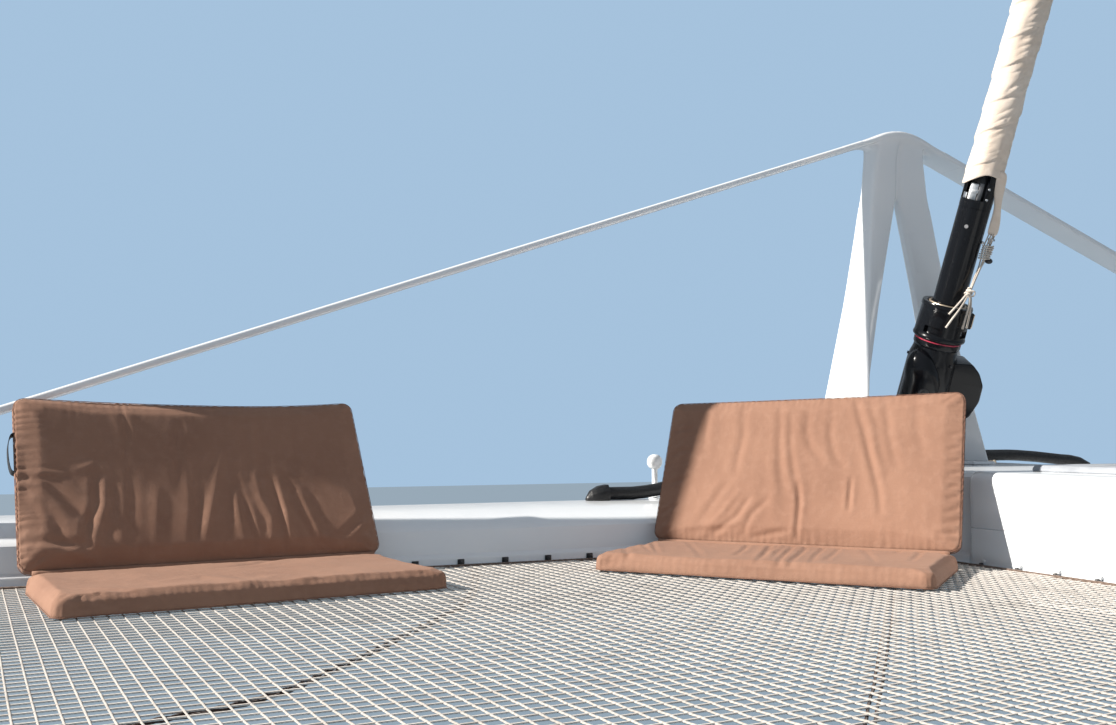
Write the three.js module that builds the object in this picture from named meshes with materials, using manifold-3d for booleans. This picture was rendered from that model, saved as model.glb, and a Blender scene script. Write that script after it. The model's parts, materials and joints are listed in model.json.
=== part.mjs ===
// Foredeck of a cruising catamaran: crossbeam, longeron, striker frame, furled headsail,
// two trampolines and two folding deck seats.
// Millimetres. X to starboard, Y forward, Z up. The origin is the middle of the longeron's
// aft end face, at the level of the trampolines.
import * as THREE from 'three';
import { mergeVertices } from 'three/addons/utils/BufferGeometryUtils.js';
import Module from 'manifold-3d';

const manifold = await Module();
manifold.setup();

const gap = 0.3; // between solids that touch
const circleSides = 32;

// Crossbeam: a moulded beam whose aft edge sweeps back into the longeron in two round corners.
const beam = {
  halfLength: 3760,
  aft: 3600,
  front: 4200,
  bottom: -165,
  lipTop: 24,
  edgeTop: 116,
  crown: 160,
  endPlate: 20,
  endPlateInset: { aft: 30, front: 30, bottom: 10, top: 12 },
};
// The beam's section: distance forward of the aft edge and height, then distance back from the front.
const lip = {
  set: 5, rise: 6, depth: 20, coveAft: 26, coveTop: 32, coveDrop: 30, edgeDrop: 12, shoulder: 46,
};
const corner = { radius: 940, endAngle: 68.3, steps: 8 };
const pedestal = { top: 285, rampOuter: 980, rampInner: 560 };

// Longeron: the walkway that runs aft on the centreline.
const longeron = {
  halfWidth: 430,
  bottom: -90,
  seam: 112,
  top: 285,
  edgeRadius: 36,
  endRadius: 40,
  endPlate: 16,
};
const longeronPlateInset = { side: 30, bottom: 12, top: 40 };
const lid = { halfWidth: 220, aft: 2250, forward: 2960, height: 20, bevel: 12, cornerCut: 30 };

// Striker: two bladed legs to an apex, and a flat strap to each end of the beam.
const striker = {
  y: 3800,
  footMargin: { x: 14, y: 16 },
  apexTop: 1604,
  apexBottom: 1521,
  apexHalfLength: 150,
  apexHalfWidth: 54,
};
const legChamfer = 0.12; // of the blade's width
const legSections = [
  // height, outer x, inner x, outer depth, inner depth
  [297.3, 305, 225, 330, 70],
  [550, 257, 170, 260, 60],
  [930, 200, 95, 155, 50],
  [1354, 140, gap / 2, 84, 56],
  [1520, 120, gap / 2, 84, 70],
];
const strap = {
  width: 130, thickness: 24, inner: 150.4, innerZ: 1538, endCover: 25.4, outer: 3660, slope: 0.357,
};
const bracket = { length: 140, width: 150, topInset: 10, crestOffset: -20 };

// Forestay and furler on one leaning axis.
const stay = { y: 3663, z: 553.5, lean: 23.45 };
const furler = {
  sill: { halfWidth: 60, halfDepth: 80, thickness: 10 },
  chainplate: { width: 12, depth: 110, height: 62, topAft: -38, topForward: 12, spread: 21.3 },
  toggle: { radius: 21, from: -262 },
  housing: { radius: 92, from: -120, to: 222 },
  seal: { radius: 88, from: 222, to: 234 },
  collar: { radius: 87, from: 234, to: 391 },
  tube: { radius: 56, bore: 46, from: 391, to: 850 },
  // A cut in the tube's aft port side, in the motor's own turned directions.
  window: { left: -70, right: 22, back: -4, front: 70, from: 766, to: 860 },
  // A domed cover on the aft port side of the housing.
  boss: { radius: 76, left: 13, out: 48, from: -100, shoulder: 60, domeHeight: 98, steps: 5 },
  motor: { turn: -24, halfDepth: 60, bevel: 16 },
  foil: { width: 34, depth: 22, bore: 8, from: 391, to: 1905 },
};
// The motor's outline seen from its flat side: distance from the stay, height.
const motorOutline = [
  [60, 182], [136, 190], [190, 146], [216, 92], [219, 14], [192, -52], [146, -84], [60, -84],
];
const sail = {
  radius: 68, from: 806, to: 1780, headRadius: 40, headTo: 1860, bore: 17.4, hollow: 58, hollowTo: 870,
};
const swivel = { radius: 38, from: 1905, to: 1985 };
const wire = { radius: 5, bore: 8, to: 2075 };
const eye = { radius: 24, thickness: 12 };

// Trampolines: a slab with a plain grid of openings, inside a hem.
const net = { thickness: 8, aft: 40, outer: 3690, inner: 446, cornerInset: 20, hemRadius: 7 };
const mesh = { across: 10, bar: 42, margin: 46 };
const hook = { width: 14, height: 9, beamSpacing: 146, longeronSpacing: 140, aftmost: 130 };

// Folding seats: pad and back of one size, joined by a covered hinge tube on the pad's rear edge.
const seat = { width: 940, depth: 480, back: 512, thickness: 42, rest: 4.3, corner: 36, soft: 10 };
const hingeTube = { radius: 10.9, length: 880, inset: 12, endGap: 5.45, faceGap: 0.4 };
const seats = [
  // name, middle x and y of the pad's rear edge, turn of that edge and lean of the back in degrees
  ['outer_seat', -2631, 3482, 7.7, 30.3],
  ['inner_seat', -923, 3208, -50.4, 24.7],
];

// Black hose clipped over the raised middle of the beam, its starboard end turned down into a flange.
const hose = { radius: 24, sides: 12, steps: 48, y: 4014 };
const hoseClip = { places: [-400, 0, 400], width: 34, wall: 4, foot: 26, steps: 8 };
const hoseFlange = { x: 1300, bore: 25, radius: 42, height: 16 };
// The port end's cover: distance outboard of the hose's end, half width, height.
const hoseCover = [[gap, 34, 58], [34, 32, 52], [66, 22, 36], [84, 8, 12]];
const hoseRoute = [
  [-1180, 184.6], [-1060, 185.2], [-930, 203], [-820, 240], [-700, 286], [-600, 308], [-500, 309.8],
  [-200, 309.5], [200, 309.5], [600, 309.8], [800, 312], [950, 304], [1090, 291], [1190, 283],
  [1258, 262], [1293, 224], [1300, 195], [1300, 178], [1300, 161.2],
];

// Round white light on a short post, at the port end of the ramp.
const deckLight = { x: -920, y: 4120, post: 11, foot: 24, footHeight: 14, z: 296, radius: 29, halfDepth: 17 };

const paint = (color, roughness, metalness = 0) => ({ color, roughness, metalness });
const finishes = {
  gelcoat: paint(0xf2f3f4, 0.25),
  deckGrip: paint(0x9a9ea8, 0.8),
  blackPaint: paint(0x0c0d10, 0.28),
  redSeal: paint(0x8c1620, 0.5),
  steel: paint(0xb8babd, 0.3, 1),
  sailcloth: paint(0xe2cdb4, 0.85),
  netCord: paint(0xd9d2c8, 0.85),
  hemWebbing: paint(0x6a5850, 0.9),
  seatCloth: paint(0x8a6250, 0.9),
  blackRubber: paint(0x0a0a0a, 0.6),
  whitePlastic: paint(0xf0f0ee, 0.35),
};

const assembly = new THREE.Group();
const radians = THREE.MathUtils.degToRad;

// Merges the corners, drops all but positions, and turns the faces outwards.
function closed(geometry) {
  geometry.deleteAttribute('normal');
  geometry.deleteAttribute('uv');
  const merged = mergeVertices(geometry, 1e-3);
  const p = merged.attributes.position;
  const index = merged.index.array;
  const [a, b, c] = [new THREE.Vector3(), new THREE.Vector3(), new THREE.Vector3()];
  let volume = 0;
  for (let i = 0; i < index.length; i += 3) {
    a.fromBufferAttribute(p, index[i]);
    b.fromBufferAttribute(p, index[i + 1]);
    c.fromBufferAttribute(p, index[i + 2]);
    volume += a.dot(b.cross(c));
  }
  if (volume < 0) {
    for (let i = 0; i < index.length; i += 3) {
      [index[i + 1], index[i + 2]] = [index[i + 2], index[i + 1]];
    }
  }
  merged.computeVertexNormals();
  return merged;
}

function addPiece(name, geometry, finish, parent = assembly) {
  const mesh = new THREE.Mesh(closed(geometry), new THREE.MeshStandardMaterial(finishes[finish]));
  mesh.name = name;
  parent.add(mesh);
}

// Joins sections that have the same number of corners. Each section is a list of Vector3,
// and flatten turns a corner into the two coordinates in which the end faces are cut.
function loft(sections, flatten) {
  const count = sections[0].length;
  const positions = sections.flat().flatMap((corner3) => corner3.toArray());
  const index = [];
  for (let s = 0; s < sections.length - 1; s += 1) {
    for (let i = 0; i < count; i += 1) {
      const next = (i + 1) % count;
      const [a, b] = [s * count + i, s * count + next];
      const [c, d] = [a + count, b + count];
      index.push(a, b, d, a, d, c);
    }
  }
  for (const [at, isFirst] of [[0, true], [sections.length - 1, false]]) {
    const outline = sections[at].map(flatten);
    const turn = Math.sign(THREE.ShapeUtils.area(outline));
    for (const [a, b, c] of THREE.ShapeUtils.triangulateShape(outline, [])) {
      // The last end runs the way round that its section does, and the first end the other way.
      const along = Math.sign(THREE.ShapeUtils.area([outline[a], outline[b], outline[c]])) === turn;
      const base = at * count;
      if (along === isFirst) index.push(base + a, base + c, base + b);
      else index.push(base + a, base + b, base + c);
    }
  }
  const geometry = new THREE.BufferGeometry();
  geometry.setAttribute('position', new THREE.Float32BufferAttribute(positions, 3));
  geometry.setIndex(index);
  return geometry;
}

const alongX = (p) => new THREE.Vector2(p.y, p.z);
const alongY = (p) => new THREE.Vector2(p.z, p.x);
const alongZ = (p) => new THREE.Vector2(p.x, p.y);

// A rectangle with its four corners cut to arcs, anticlockwise.
function roundedRectangle(halfX, halfY, radius, steps = 3) {
  const corners = [[1, 1, 0], [-1, 1, 90], [-1, -1, 180], [1, -1, 270]];
  return corners.flatMap(([sx, sy, start]) => Array.from({ length: steps + 1 }, (_, i) => {
    const angle = radians(start + (90 * i) / steps);
    return new THREE.Vector2(
      sx * (halfX - radius) + radius * Math.cos(angle),
      sy * (halfY - radius) + radius * Math.sin(angle),
    );
  }));
}

function toSolid(geometry) {
  const clean = closed(geometry);
  return new manifold.Manifold(new manifold.Mesh({
    numProp: 3,
    vertProperties: new Float32Array(clean.attributes.position.array),
    triVerts: new Uint32Array(clean.index.array),
  }));
}

function fromSolid(solid) {
  const { vertProperties, numProp, triVerts } = solid.getMesh();
  const geometry = new THREE.BufferGeometry();
  geometry.setAttribute('position', new THREE.Float32BufferAttribute(vertProperties, numProp));
  geometry.setIndex(Array.from(triVerts));
  return geometry;
}

// Joins closed solids that pass into each other.
function joined(geometries) {
  return fromSolid(geometries.map(toSolid).reduce((sum, solid) => sum.add(solid)));
}

function cutBy(geometry, cutter) {
  return fromSolid(toSolid(geometry).subtract(toSolid(cutter)));
}

function boxBetween(x0, x1, y0, y1, z0, z1) {
  const geometry = new THREE.BoxGeometry(x1 - x0, y1 - y0, z1 - z0);
  return geometry.translate((x0 + x1) / 2, (y0 + y1) / 2, (z0 + z1) / 2);
}

// A solid of revolution about Z from radius and height pairs that start and end on the axis.
function turned(profile) {
  const points = profile.map(([radius, height]) => new THREE.Vector2(radius, height));
  return new THREE.LatheGeometry(points, circleSides).rotateX(Math.PI / 2);
}

function rod(radius, from, to) {
  return turned([[0, from], [radius, from], [radius, to], [0, to]]);
}

// Blends from 0 to 1 with level ends.
function ease(t) {
  const u = Math.min(1, Math.max(0, t));
  return u * u * (3 - 2 * u);
}

// The port corner's centre. The arc ends just inside the longeron's side.
const cornerTuck = 13;
const centreX = cornerTuck - longeron.halfWidth - corner.radius * Math.sin(radians(corner.endAngle));
const centreY = beam.aft - corner.radius;
const cornerStart = 3; // the arc's first station

function beamStations() {
  const port = [[-beam.halfLength, beam.aft], [-2400, beam.aft], [centreX - 120, beam.aft]];
  for (let i = 0; i <= corner.steps; i += 1) {
    const angle = radians((corner.endAngle * i) / corner.steps);
    port.push([centreX + corner.radius * Math.sin(angle), centreY + corner.radius * Math.cos(angle)]);
  }
  const starboard = port.map(([x, y]) => [-x, y]).reverse();
  return port.concat(starboard);
}

// One section of the beam: lip, hollowed aft face, rounded edge, crowned top and rounded nose.
function beamSection(x, aft) {
  const lift = ease((pedestal.rampOuter - Math.abs(x)) / (pedestal.rampOuter - pedestal.rampInner));
  const edge = THREE.MathUtils.lerp(beam.edgeTop, pedestal.top - 6, lift);
  const crown = THREE.MathUtils.lerp(beam.crown, pedestal.top, lift);
  const rise = crown - edge;
  const outline = [
    [aft + 40, beam.bottom],
    [aft + 4, -60],
    [aft, -20],
    [aft, beam.lipTop - lip.set],
    [aft + lip.set, beam.lipTop],
    [aft + lip.depth, beam.lipTop + lip.rise],
    [aft + lip.coveAft, edge - lip.coveDrop],
    [aft + lip.coveTop, edge - lip.edgeDrop],
    [aft + lip.shoulder, edge],
    [aft + 2 * lip.shoulder, edge + rise * 0.3],
    [beam.front - 420, edge + rise * 0.85],
    [beam.front - 300, crown],
    [beam.front - 150, crown],
    [beam.front - 70, crown - 14],
    [beam.front - 20, crown - 52],
    [beam.front, crown - 110],
    [beam.front - 10, -60],
    [beam.front - 60, beam.bottom + 20],
    [beam.front - 120, beam.bottom],
  ];
  return outline.map(([y, z]) => new THREE.Vector3(x, y, z));
}

// Height of the beam's top skin.
function beamTop(x, y) {
  const skin = beamSection(x, beam.aft).slice(8, 14);
  const i = Math.max(1, skin.findIndex((p) => p.y > y));
  const t = (y - skin[i - 1].y) / (skin[i].y - skin[i - 1].y);
  return THREE.MathUtils.lerp(skin[i - 1].z, skin[i].z, t);
}

function beamGeometry() {
  return loft(beamStations().map(([x, aft]) => beamSection(x, aft)), alongX);
}

function addCrossbeam() {
  addPiece('crossbeam', beamGeometry(), 'gelcoat');
  const { aft, front, bottom, top } = beam.endPlateInset;
  for (const [side, name] of [[-1, 'port'], [1, 'starboard']]) {
    const inner = beam.halfLength + gap;
    const xs = [side * inner, side * (inner + beam.endPlate)].sort((a, b) => a - b);
    const ys = [beam.aft + aft, beam.front - front];
    const plate = boxBetween(...xs, ...ys, beam.bottom + bottom, beam.edgeTop - top);
    addPiece(`beam_end_plate_${name}`, plate, 'steel');
  }
}

// Sections of the longeron from its aft end to its rounded forward end.
function longeronSections(bottom, top, edgeRadius) {
  const forward = beamStations()[cornerStart + corner.steps][1] - gap;
  const stations = [[longeron.endPlate + gap, 0]];
  const steps = 3;
  for (let i = 0; i <= steps; i += 1) {
    const angle = radians((90 * i) / steps);
    const inset = longeron.endRadius * (1 - Math.cos(angle));
    stations.push([forward - longeron.endRadius * (1 - Math.sin(angle)), inset]);
  }
  return stations.map(([y, inset]) => {
    const half = longeron.halfWidth - inset;
    const arc = [0, 30, 60, 90].map((degrees) => [
      half - edgeRadius * (1 - Math.cos(radians(degrees))),
      top - edgeRadius * (1 - Math.sin(radians(degrees))),
    ]);
    const right = [[half, bottom]].concat(arc);
    const outline = right.concat(right.map(([x, z]) => [-x, z]).reverse());
    return outline.map(([x, z]) => new THREE.Vector3(x, y, z));
  });
}

function addLongeron() {
  const { bottom, seam, top, edgeRadius, halfWidth, endPlate } = longeron;
  const seamRadius = 2;
  addPiece('longeron_lower', loft(longeronSections(bottom, seam, seamRadius), alongY), 'gelcoat');
  addPiece('longeron_upper', loft(longeronSections(seam + gap, top, edgeRadius), alongY), 'gelcoat');
  const half = halfWidth - longeronPlateInset.side;
  const zs = [bottom + longeronPlateInset.bottom, top - longeronPlateInset.top];
  const plate = boxBetween(-half, half, 0, endPlate, ...zs);
  addPiece('longeron_end_plate', plate, 'steel');
  const lidSection = (y, inset) => [
    [lid.halfWidth - inset, 0], [lid.halfWidth - inset, lid.height - lid.bevel],
    [lid.halfWidth - inset - lid.bevel, lid.height], [-lid.halfWidth + inset + lid.bevel, lid.height],
    [-lid.halfWidth + inset, lid.height - lid.bevel], [-lid.halfWidth + inset, 0],
  ].map(([x, z]) => new THREE.Vector3(x, y, top + gap + z));
  const lidSections = [
    lidSection(lid.aft, lid.cornerCut), lidSection(lid.aft + lid.cornerCut, 0),
    lidSection(lid.forward - lid.cornerCut, 0), lidSection(lid.forward, lid.cornerCut),
  ];
  addPiece('locker_lid', loft(lidSections, alongY), 'deckGrip');
}

function legSection(side, [z, outer, inner, outerDepth, innerDepth]) {
  const chamfer = legChamfer * (outer - inner);
  const corners = [
    [outer, outerDepth / 2 - chamfer], [outer - chamfer, outerDepth / 2],
    [inner + chamfer, innerDepth / 2], [inner, innerDepth / 2 - chamfer],
    [inner, -innerDepth / 2 + chamfer], [inner + chamfer, -innerDepth / 2],
    [outer - chamfer, -outerDepth / 2], [outer, -outerDepth / 2 + chamfer],
  ];
  return corners.map(([x, y]) => new THREE.Vector3(side * x, striker.y + y, z));
}

// The saddle over both legs, with a web down to each strap.
function apexSections() {
  const end = striker.apexHalfLength;
  const stations = [
    // x, top, bottom
    [-end, strap.innerZ + strap.endCover, strap.innerZ],
    [-95, striker.apexTop - 16, striker.apexBottom],
    [-40, striker.apexTop - 2, striker.apexBottom],
    [0, striker.apexTop, striker.apexBottom],
    [40, striker.apexTop - 2, striker.apexBottom],
    [95, striker.apexTop - 16, striker.apexBottom],
    [end, strap.innerZ + strap.endCover, strap.innerZ],
  ];
  const half = striker.apexHalfWidth;
  return stations.map(([x, top, bottom]) => {
    const soft = Math.min(16, (top - bottom) / 3);
    return [
      [-half + soft, bottom], [half - soft, bottom], [half, bottom + soft],
      [half, top - soft], [half - soft, top], [-half + soft, top],
      [-half, top - soft], [-half, bottom + soft],
    ].map(([y, z]) => new THREE.Vector3(x, striker.y + y, z));
  });
}

function strapZ(x) {
  return strap.innerZ - strap.slope * (Math.abs(x) - striker.apexHalfLength);
}

function addStriker() {
  addPiece('striker_apex', loft(apexSections(), alongX), 'gelcoat');
  for (const [side, name] of [[-1, 'port'], [1, 'starboard']]) {
    const base = legSections[0];
    const footBottom = pedestal.top + gap;
    const { footMargin, y } = striker;
    const [x0, x1] = [side * (base[2] - footMargin.x), side * (base[1] + footMargin.x)].sort((a, b) => a - b);
    const depth = base[3] / 2 + footMargin.y;
    const foot = boxBetween(x0, x1, y - depth, y + depth, footBottom, base[0] - gap);
    addPiece(`striker_foot_${name}`, foot, 'gelcoat');
    const leg = loft(legSections.map((row) => legSection(side, row)), alongZ);
    addPiece(`striker_leg_${name}`, leg, 'gelcoat');

    const strapSections = [strap.inner, strap.outer].map((x) => {
      const half = strap.width / 2;
      const z = strapZ(x);
      return [[-half, z], [half, z], [half, z + strap.thickness], [-half, z + strap.thickness]]
        .map(([offset, height]) => new THREE.Vector3(side * x, y + offset, height));
    });
    addPiece(`striker_strap_${name}`, loft(strapSections, alongX), 'gelcoat');

    const bracketSections = [strap.outer - bracket.length, strap.outer].map((x) => {
      const half = bracket.width / 2;
      const crest = half - bracket.topInset;
      const top = strapZ(x) - gap * 2;
      const low = (offset) => [offset, beamTop(x, y + offset) + gap];
      return [low(-half), low(bracket.crestOffset), low(half), [crest, top], [-crest, top]]
        .map(([offset, height]) => new THREE.Vector3(side * x, y + offset, height));
    });
    addPiece(`strap_bracket_${name}`, loft(bracketSections, alongX), 'gelcoat');
  }
}

const stayGroup = new THREE.Group();
stayGroup.position.set(0, stay.y, stay.z);
stayGroup.rotation.x = radians(stay.lean);
assembly.add(stayGroup);

// The chainplate stands on the beam where the stay's axis meets it.
function addChainplate() {
  const { sill, chainplate } = furler;
  const reach = (stay.z - pedestal.top) / Math.cos(radians(stay.lean));
  const baseY = stay.y + reach * Math.sin(radians(stay.lean));
  const bottom = pedestal.top + gap;
  const top = bottom + sill.thickness;
  const ys = [baseY - sill.halfDepth, baseY + sill.halfDepth];
  addPiece('forestay_base', boxBetween(-sill.halfWidth, sill.halfWidth, ...ys, bottom, top), 'steel');
  const lug = new THREE.Shape([
    new THREE.Vector2(-chainplate.depth / 2, 0),
    new THREE.Vector2(chainplate.depth / 2, 0),
    new THREE.Vector2(chainplate.topForward, chainplate.height),
    new THREE.Vector2(chainplate.topAft, chainplate.height),
  ]);
  for (const [side, name] of [[-1, 'port'], [1, 'starboard']]) {
    const blade = new THREE.ExtrudeGeometry(lug, { depth: chainplate.width, bevelEnabled: false });
    blade.rotateX(Math.PI / 2).rotateZ(Math.PI / 2);
    const inner = side * chainplate.spread + (side < 0 ? -chainplate.width : 0);
    addPiece(`forestay_lug_${name}`, blade.translate(inner, baseY, top + gap), 'steel');
  }
}

// Housing with its domed cover, larger all over by a margin.
function housingGeometry(margin) {
  const { housing, boss, motor } = furler;
  const h = housing.radius + margin;
  const [low, high] = [housing.from - margin, housing.to - gap + margin];
  const body = turned([
    [0, low], [h - 34, low], [h - 12, low + 18], [h, low + 60],
    [h, housing.to - 70], [h - 10, housing.to - 30], [h - 8, high], [0, high],
  ]);
  const b = boss.radius + margin;
  const dome = Array.from({ length: boss.steps + 1 }, (_, i) => {
    const angle = (Math.PI / 2) * (i / boss.steps);
    return [b * Math.cos(angle), boss.shoulder + (boss.domeHeight + margin) * Math.sin(angle)];
  });
  dome[boss.steps][0] = 0;
  const cover = turned([[0, boss.from], [b - 16, boss.from], [b, boss.from + 20], ...dome]);
  cover.translate(-boss.left, -boss.out, 0).rotateZ(radians(motor.turn));
  return joined([body, cover]);
}

// The motor lies against the housing, off to starboard and a little aft.
function motorGeometry() {
  const { motor } = furler;
  const outline = new THREE.Shape(motorOutline.map(([x, z]) => new THREE.Vector2(x, z)));
  const pod = new THREE.ExtrudeGeometry(outline, {
    depth: 2 * (motor.halfDepth - motor.bevel),
    bevelThickness: motor.bevel,
    bevelSize: motor.bevel,
    bevelOffset: -motor.bevel,
    bevelSegments: 2,
  });
  pod.translate(0, 0, motor.bevel - motor.halfDepth).rotateX(Math.PI / 2).rotateZ(radians(motor.turn));
  return cutBy(pod, housingGeometry(gap * 1.5));
}

function addFurler() {
  const { toggle, housing, seal, collar, tube, window, motor } = furler;
  addPiece('forestay_toggle', rod(toggle.radius, toggle.from, housing.from - gap), 'steel', stayGroup);
  addPiece('furler_housing', housingGeometry(0), 'blackPaint', stayGroup);
  addPiece('furler_motor', motorGeometry(), 'blackPaint', stayGroup);
  addPiece('furler_seal', rod(seal.radius, seal.from, seal.to - gap), 'redSeal', stayGroup);
  const c = collar.radius;
  const cup = turned([
    [wire.bore, collar.from], [c - 4, collar.from], [c, collar.from + 10], [c - 8, collar.from + 60],
    [c - 8, collar.to - 70], [c, collar.to - 60], [c, collar.to - 6], [c - 6, collar.to - gap],
    [wire.bore, collar.to - gap], [wire.bore, collar.from],
  ]);
  addPiece('furler_collar', cup, 'blackPaint', stayGroup);

  const pipe = turned([
    [tube.bore, tube.from], [tube.radius, tube.from], [tube.radius, tube.to], [tube.bore, tube.to],
    [tube.bore, tube.from],
  ]);
  const { left, right, back, front, from, to } = window;
  const opening = boxBetween(left, right, -front, -back, from, to).rotateZ(radians(motor.turn));
  addPiece('furler_drive_tube', cutBy(pipe, opening), 'blackPaint', stayGroup);
}

// Wire, foil, rolled sail and the fittings at its head.
function addForestay() {
  const { seal, foil } = furler;
  addPiece('forestay_wire', rod(wire.radius, seal.to, wire.to), 'steel', stayGroup);
  const foilShape = new THREE.Shape(roundedRectangle(foil.width / 2, foil.depth / 2, 10));
  foilShape.holes.push(new THREE.Path().absarc(0, 0, foil.bore, 0, 2 * Math.PI));
  const foilLength = foil.to - foil.from - gap;
  const extrusion = new THREE.ExtrudeGeometry(foilShape, { depth: foilLength, bevelEnabled: false });
  addPiece('luff_foil', extrusion.translate(0, 0, foil.from), 'steel', stayGroup);

  const roll = turned([
    [sail.bore, sail.hollowTo], [sail.hollow, sail.hollowTo], [sail.hollow, sail.from],
    [sail.radius - 4, sail.from - 14], [sail.radius, sail.from + 60], [sail.radius - 2, sail.to - 200],
    [sail.headRadius + 12, sail.to], [sail.headRadius, sail.headTo], [sail.bore, sail.headTo],
    [sail.bore, sail.hollowTo],
  ]);
  addPiece('furled_sail', roll, 'sailcloth', stayGroup);
  const head = turned([
    [wire.radius + gap, swivel.from], [swivel.radius - 6, swivel.from], [swivel.radius, swivel.from + 8],
    [swivel.radius, swivel.to - 22], [swivel.radius - 18, swivel.to],
    [wire.radius + gap, swivel.to], [wire.radius + gap, swivel.from],
  ]);
  addPiece('halyard_swivel', head, 'steel', stayGroup);
  const terminal = boxBetween(-eye.thickness / 2, eye.thickness / 2, -eye.radius, eye.radius,
    wire.to + gap, wire.to + gap + 2 * eye.radius);
  addPiece('forestay_eye', terminal, 'steel', stayGroup);
}

// The outline of the port trampoline, anticlockwise from its aft outer corner.
function netOutline(inset) {
  const radius = corner.radius - net.cornerInset - inset;
  const limit = -net.inner - inset;
  const last = Math.asin((limit - centreX) / radius);
  const steps = 10;
  const arc = Array.from({ length: steps + 1 }, (_, i) => {
    const angle = (last * (steps - i)) / steps;
    return [centreX + radius * Math.sin(angle), centreY + radius * Math.cos(angle)];
  });
  return [
    [-net.outer + inset, net.aft + inset],
    [limit, net.aft + inset],
    ...arc,
    [-net.outer + inset, centreY + radius],
  ];
}

// Hooks from the hem to the beam's lip and to the longeron's side.
function hookBoxes() {
  const half = hook.width / 2;
  const high = hook.height / 2;
  const bar = (reach) => boxBetween(-half, half, 0, reach, -high, high);
  const boxes = [];
  const beamHem = beam.aft - net.cornerInset - net.hemRadius;
  for (let x = centreX - hook.width; x > -net.outer + half; x -= hook.beamSpacing) {
    boxes.push(bar(beam.aft - gap - beamHem).translate(x, beamHem, 0));
  }
  const radius = corner.radius - net.cornerInset - net.hemRadius;
  const facet = corner.endAngle / corner.steps;
  const step = THREE.MathUtils.radToDeg(hook.beamSpacing / corner.radius);
  for (let angle = step; angle < corner.endAngle - step / 2; angle += step) {
    const offMiddle = radians((angle % facet) - facet / 2);
    const wall = (corner.radius * Math.cos(radians(facet / 2))) / Math.cos(offMiddle);
    const reach = wall - radius - gap - half * Math.abs(Math.tan(offMiddle));
    boxes.push(bar(reach).translate(0, radius, 0).rotateZ(-radians(angle)).translate(centreX, centreY, 0));
  }
  const sideHem = net.inner + net.hemRadius;
  const last = beamStations()[cornerStart + corner.steps][1] - longeron.endRadius - half;
  for (let y = hook.aftmost; y < last; y += hook.longeronSpacing) {
    boxes.push(bar(sideHem - longeron.halfWidth - gap).rotateZ(-Math.PI / 2).translate(-sideHem, y, 0));
  }
  return boxes;
}

// A ring of round section along a closed outline at net level.
function ring(outline, radius, sides = 8) {
  const count = outline.length;
  const positions = [];
  const index = [];
  outline.forEach(([x, y], i) => {
    const before = new THREE.Vector2(...outline[(i + count - 1) % count]);
    const here = new THREE.Vector2(x, y);
    const after = new THREE.Vector2(...outline[(i + 1) % count]);
    const inward = here.clone().sub(before).normalize();
    const outward = after.sub(here).normalize();
    const along = inward.clone().add(outward).normalize();
    const stretch = 1 / Math.max(0.5, along.dot(outward));
    const across = new THREE.Vector2(along.y, -along.x).multiplyScalar(radius * stretch);
    for (let s = 0; s < sides; s += 1) {
      const angle = (2 * Math.PI * s) / sides;
      const side = across.clone().multiplyScalar(Math.cos(angle));
      positions.push(x + side.x, y + side.y, radius * Math.sin(angle));
      const [a, b] = [i * sides + s, i * sides + ((s + 1) % sides)];
      const c = ((i + 1) % count) * sides;
      index.push(a, b, c + ((s + 1) % sides), a, c + ((s + 1) % sides), c + s);
    }
  });
  const geometry = new THREE.BufferGeometry();
  geometry.setAttribute('position', new THREE.Float32BufferAttribute(positions, 3));
  geometry.setIndex(index);
  return geometry;
}

function netSlab(inset, thickness) {
  const outline = new THREE.Shape(netOutline(inset).map(([x, y]) => new THREE.Vector2(x, y)));
  const slab = new THREE.ExtrudeGeometry(outline, { depth: thickness, bevelEnabled: false });
  return slab.translate(0, 0, -thickness / 2);
}

// The port trampoline's slab less a square grid of openings, cut short at a margin along its edge.
function netGeometry() {
  const edge = net.hemRadius * 2 + gap;
  const tall = net.thickness * 3;
  const low = [-net.outer + edge + mesh.margin, net.aft + edge + mesh.margin];
  const pitch = (net.outer - net.inner - 2 * edge - 2 * mesh.margin + mesh.bar) / mesh.across;
  const blocks = [];
  for (let column = 0; column < mesh.across; column += 1) {
    for (let y = low[1]; y < beam.aft; y += pitch) {
      const x = low[0] + column * pitch;
      blocks.push(boxBetween(x, x + pitch - mesh.bar, y, y + pitch - mesh.bar, -tall / 2, tall / 2));
    }
  }
  const openings = toSolid(joined(blocks)).intersect(toSolid(netSlab(edge + mesh.margin, tall)));
  return fromSolid(toSolid(netSlab(edge, net.thickness)).subtract(openings));
}

function addTrampolines() {
  for (const [side, name] of [[1, 'port'], [-1, 'starboard']]) {
    addPiece(`trampoline_${name}`, netGeometry().scale(side, 1, 1), 'netCord');
    const hem = joined([ring(netOutline(net.hemRadius), net.hemRadius), ...hookBoxes()]);
    addPiece(`trampoline_hem_${name}`, hem.scale(side, 1, 1), 'hemWebbing');
  }
}

// A pad with rounded corners and softened edges, lying from y = 0 to y = -length.
function padGeometry(width, length, thickness) {
  const { corner: round, soft } = seat;
  const outline = (inset) => roundedRectangle(width / 2 - inset, length / 2 - inset, round - inset);
  const levels = [[0, soft], [soft, 0], [thickness - soft, 0], [thickness, soft]];
  return loft(levels.map(([z, inset]) => outline(inset)
    .map((p) => new THREE.Vector3(p.x, p.y - length / 2, z))), alongZ);
}

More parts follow.
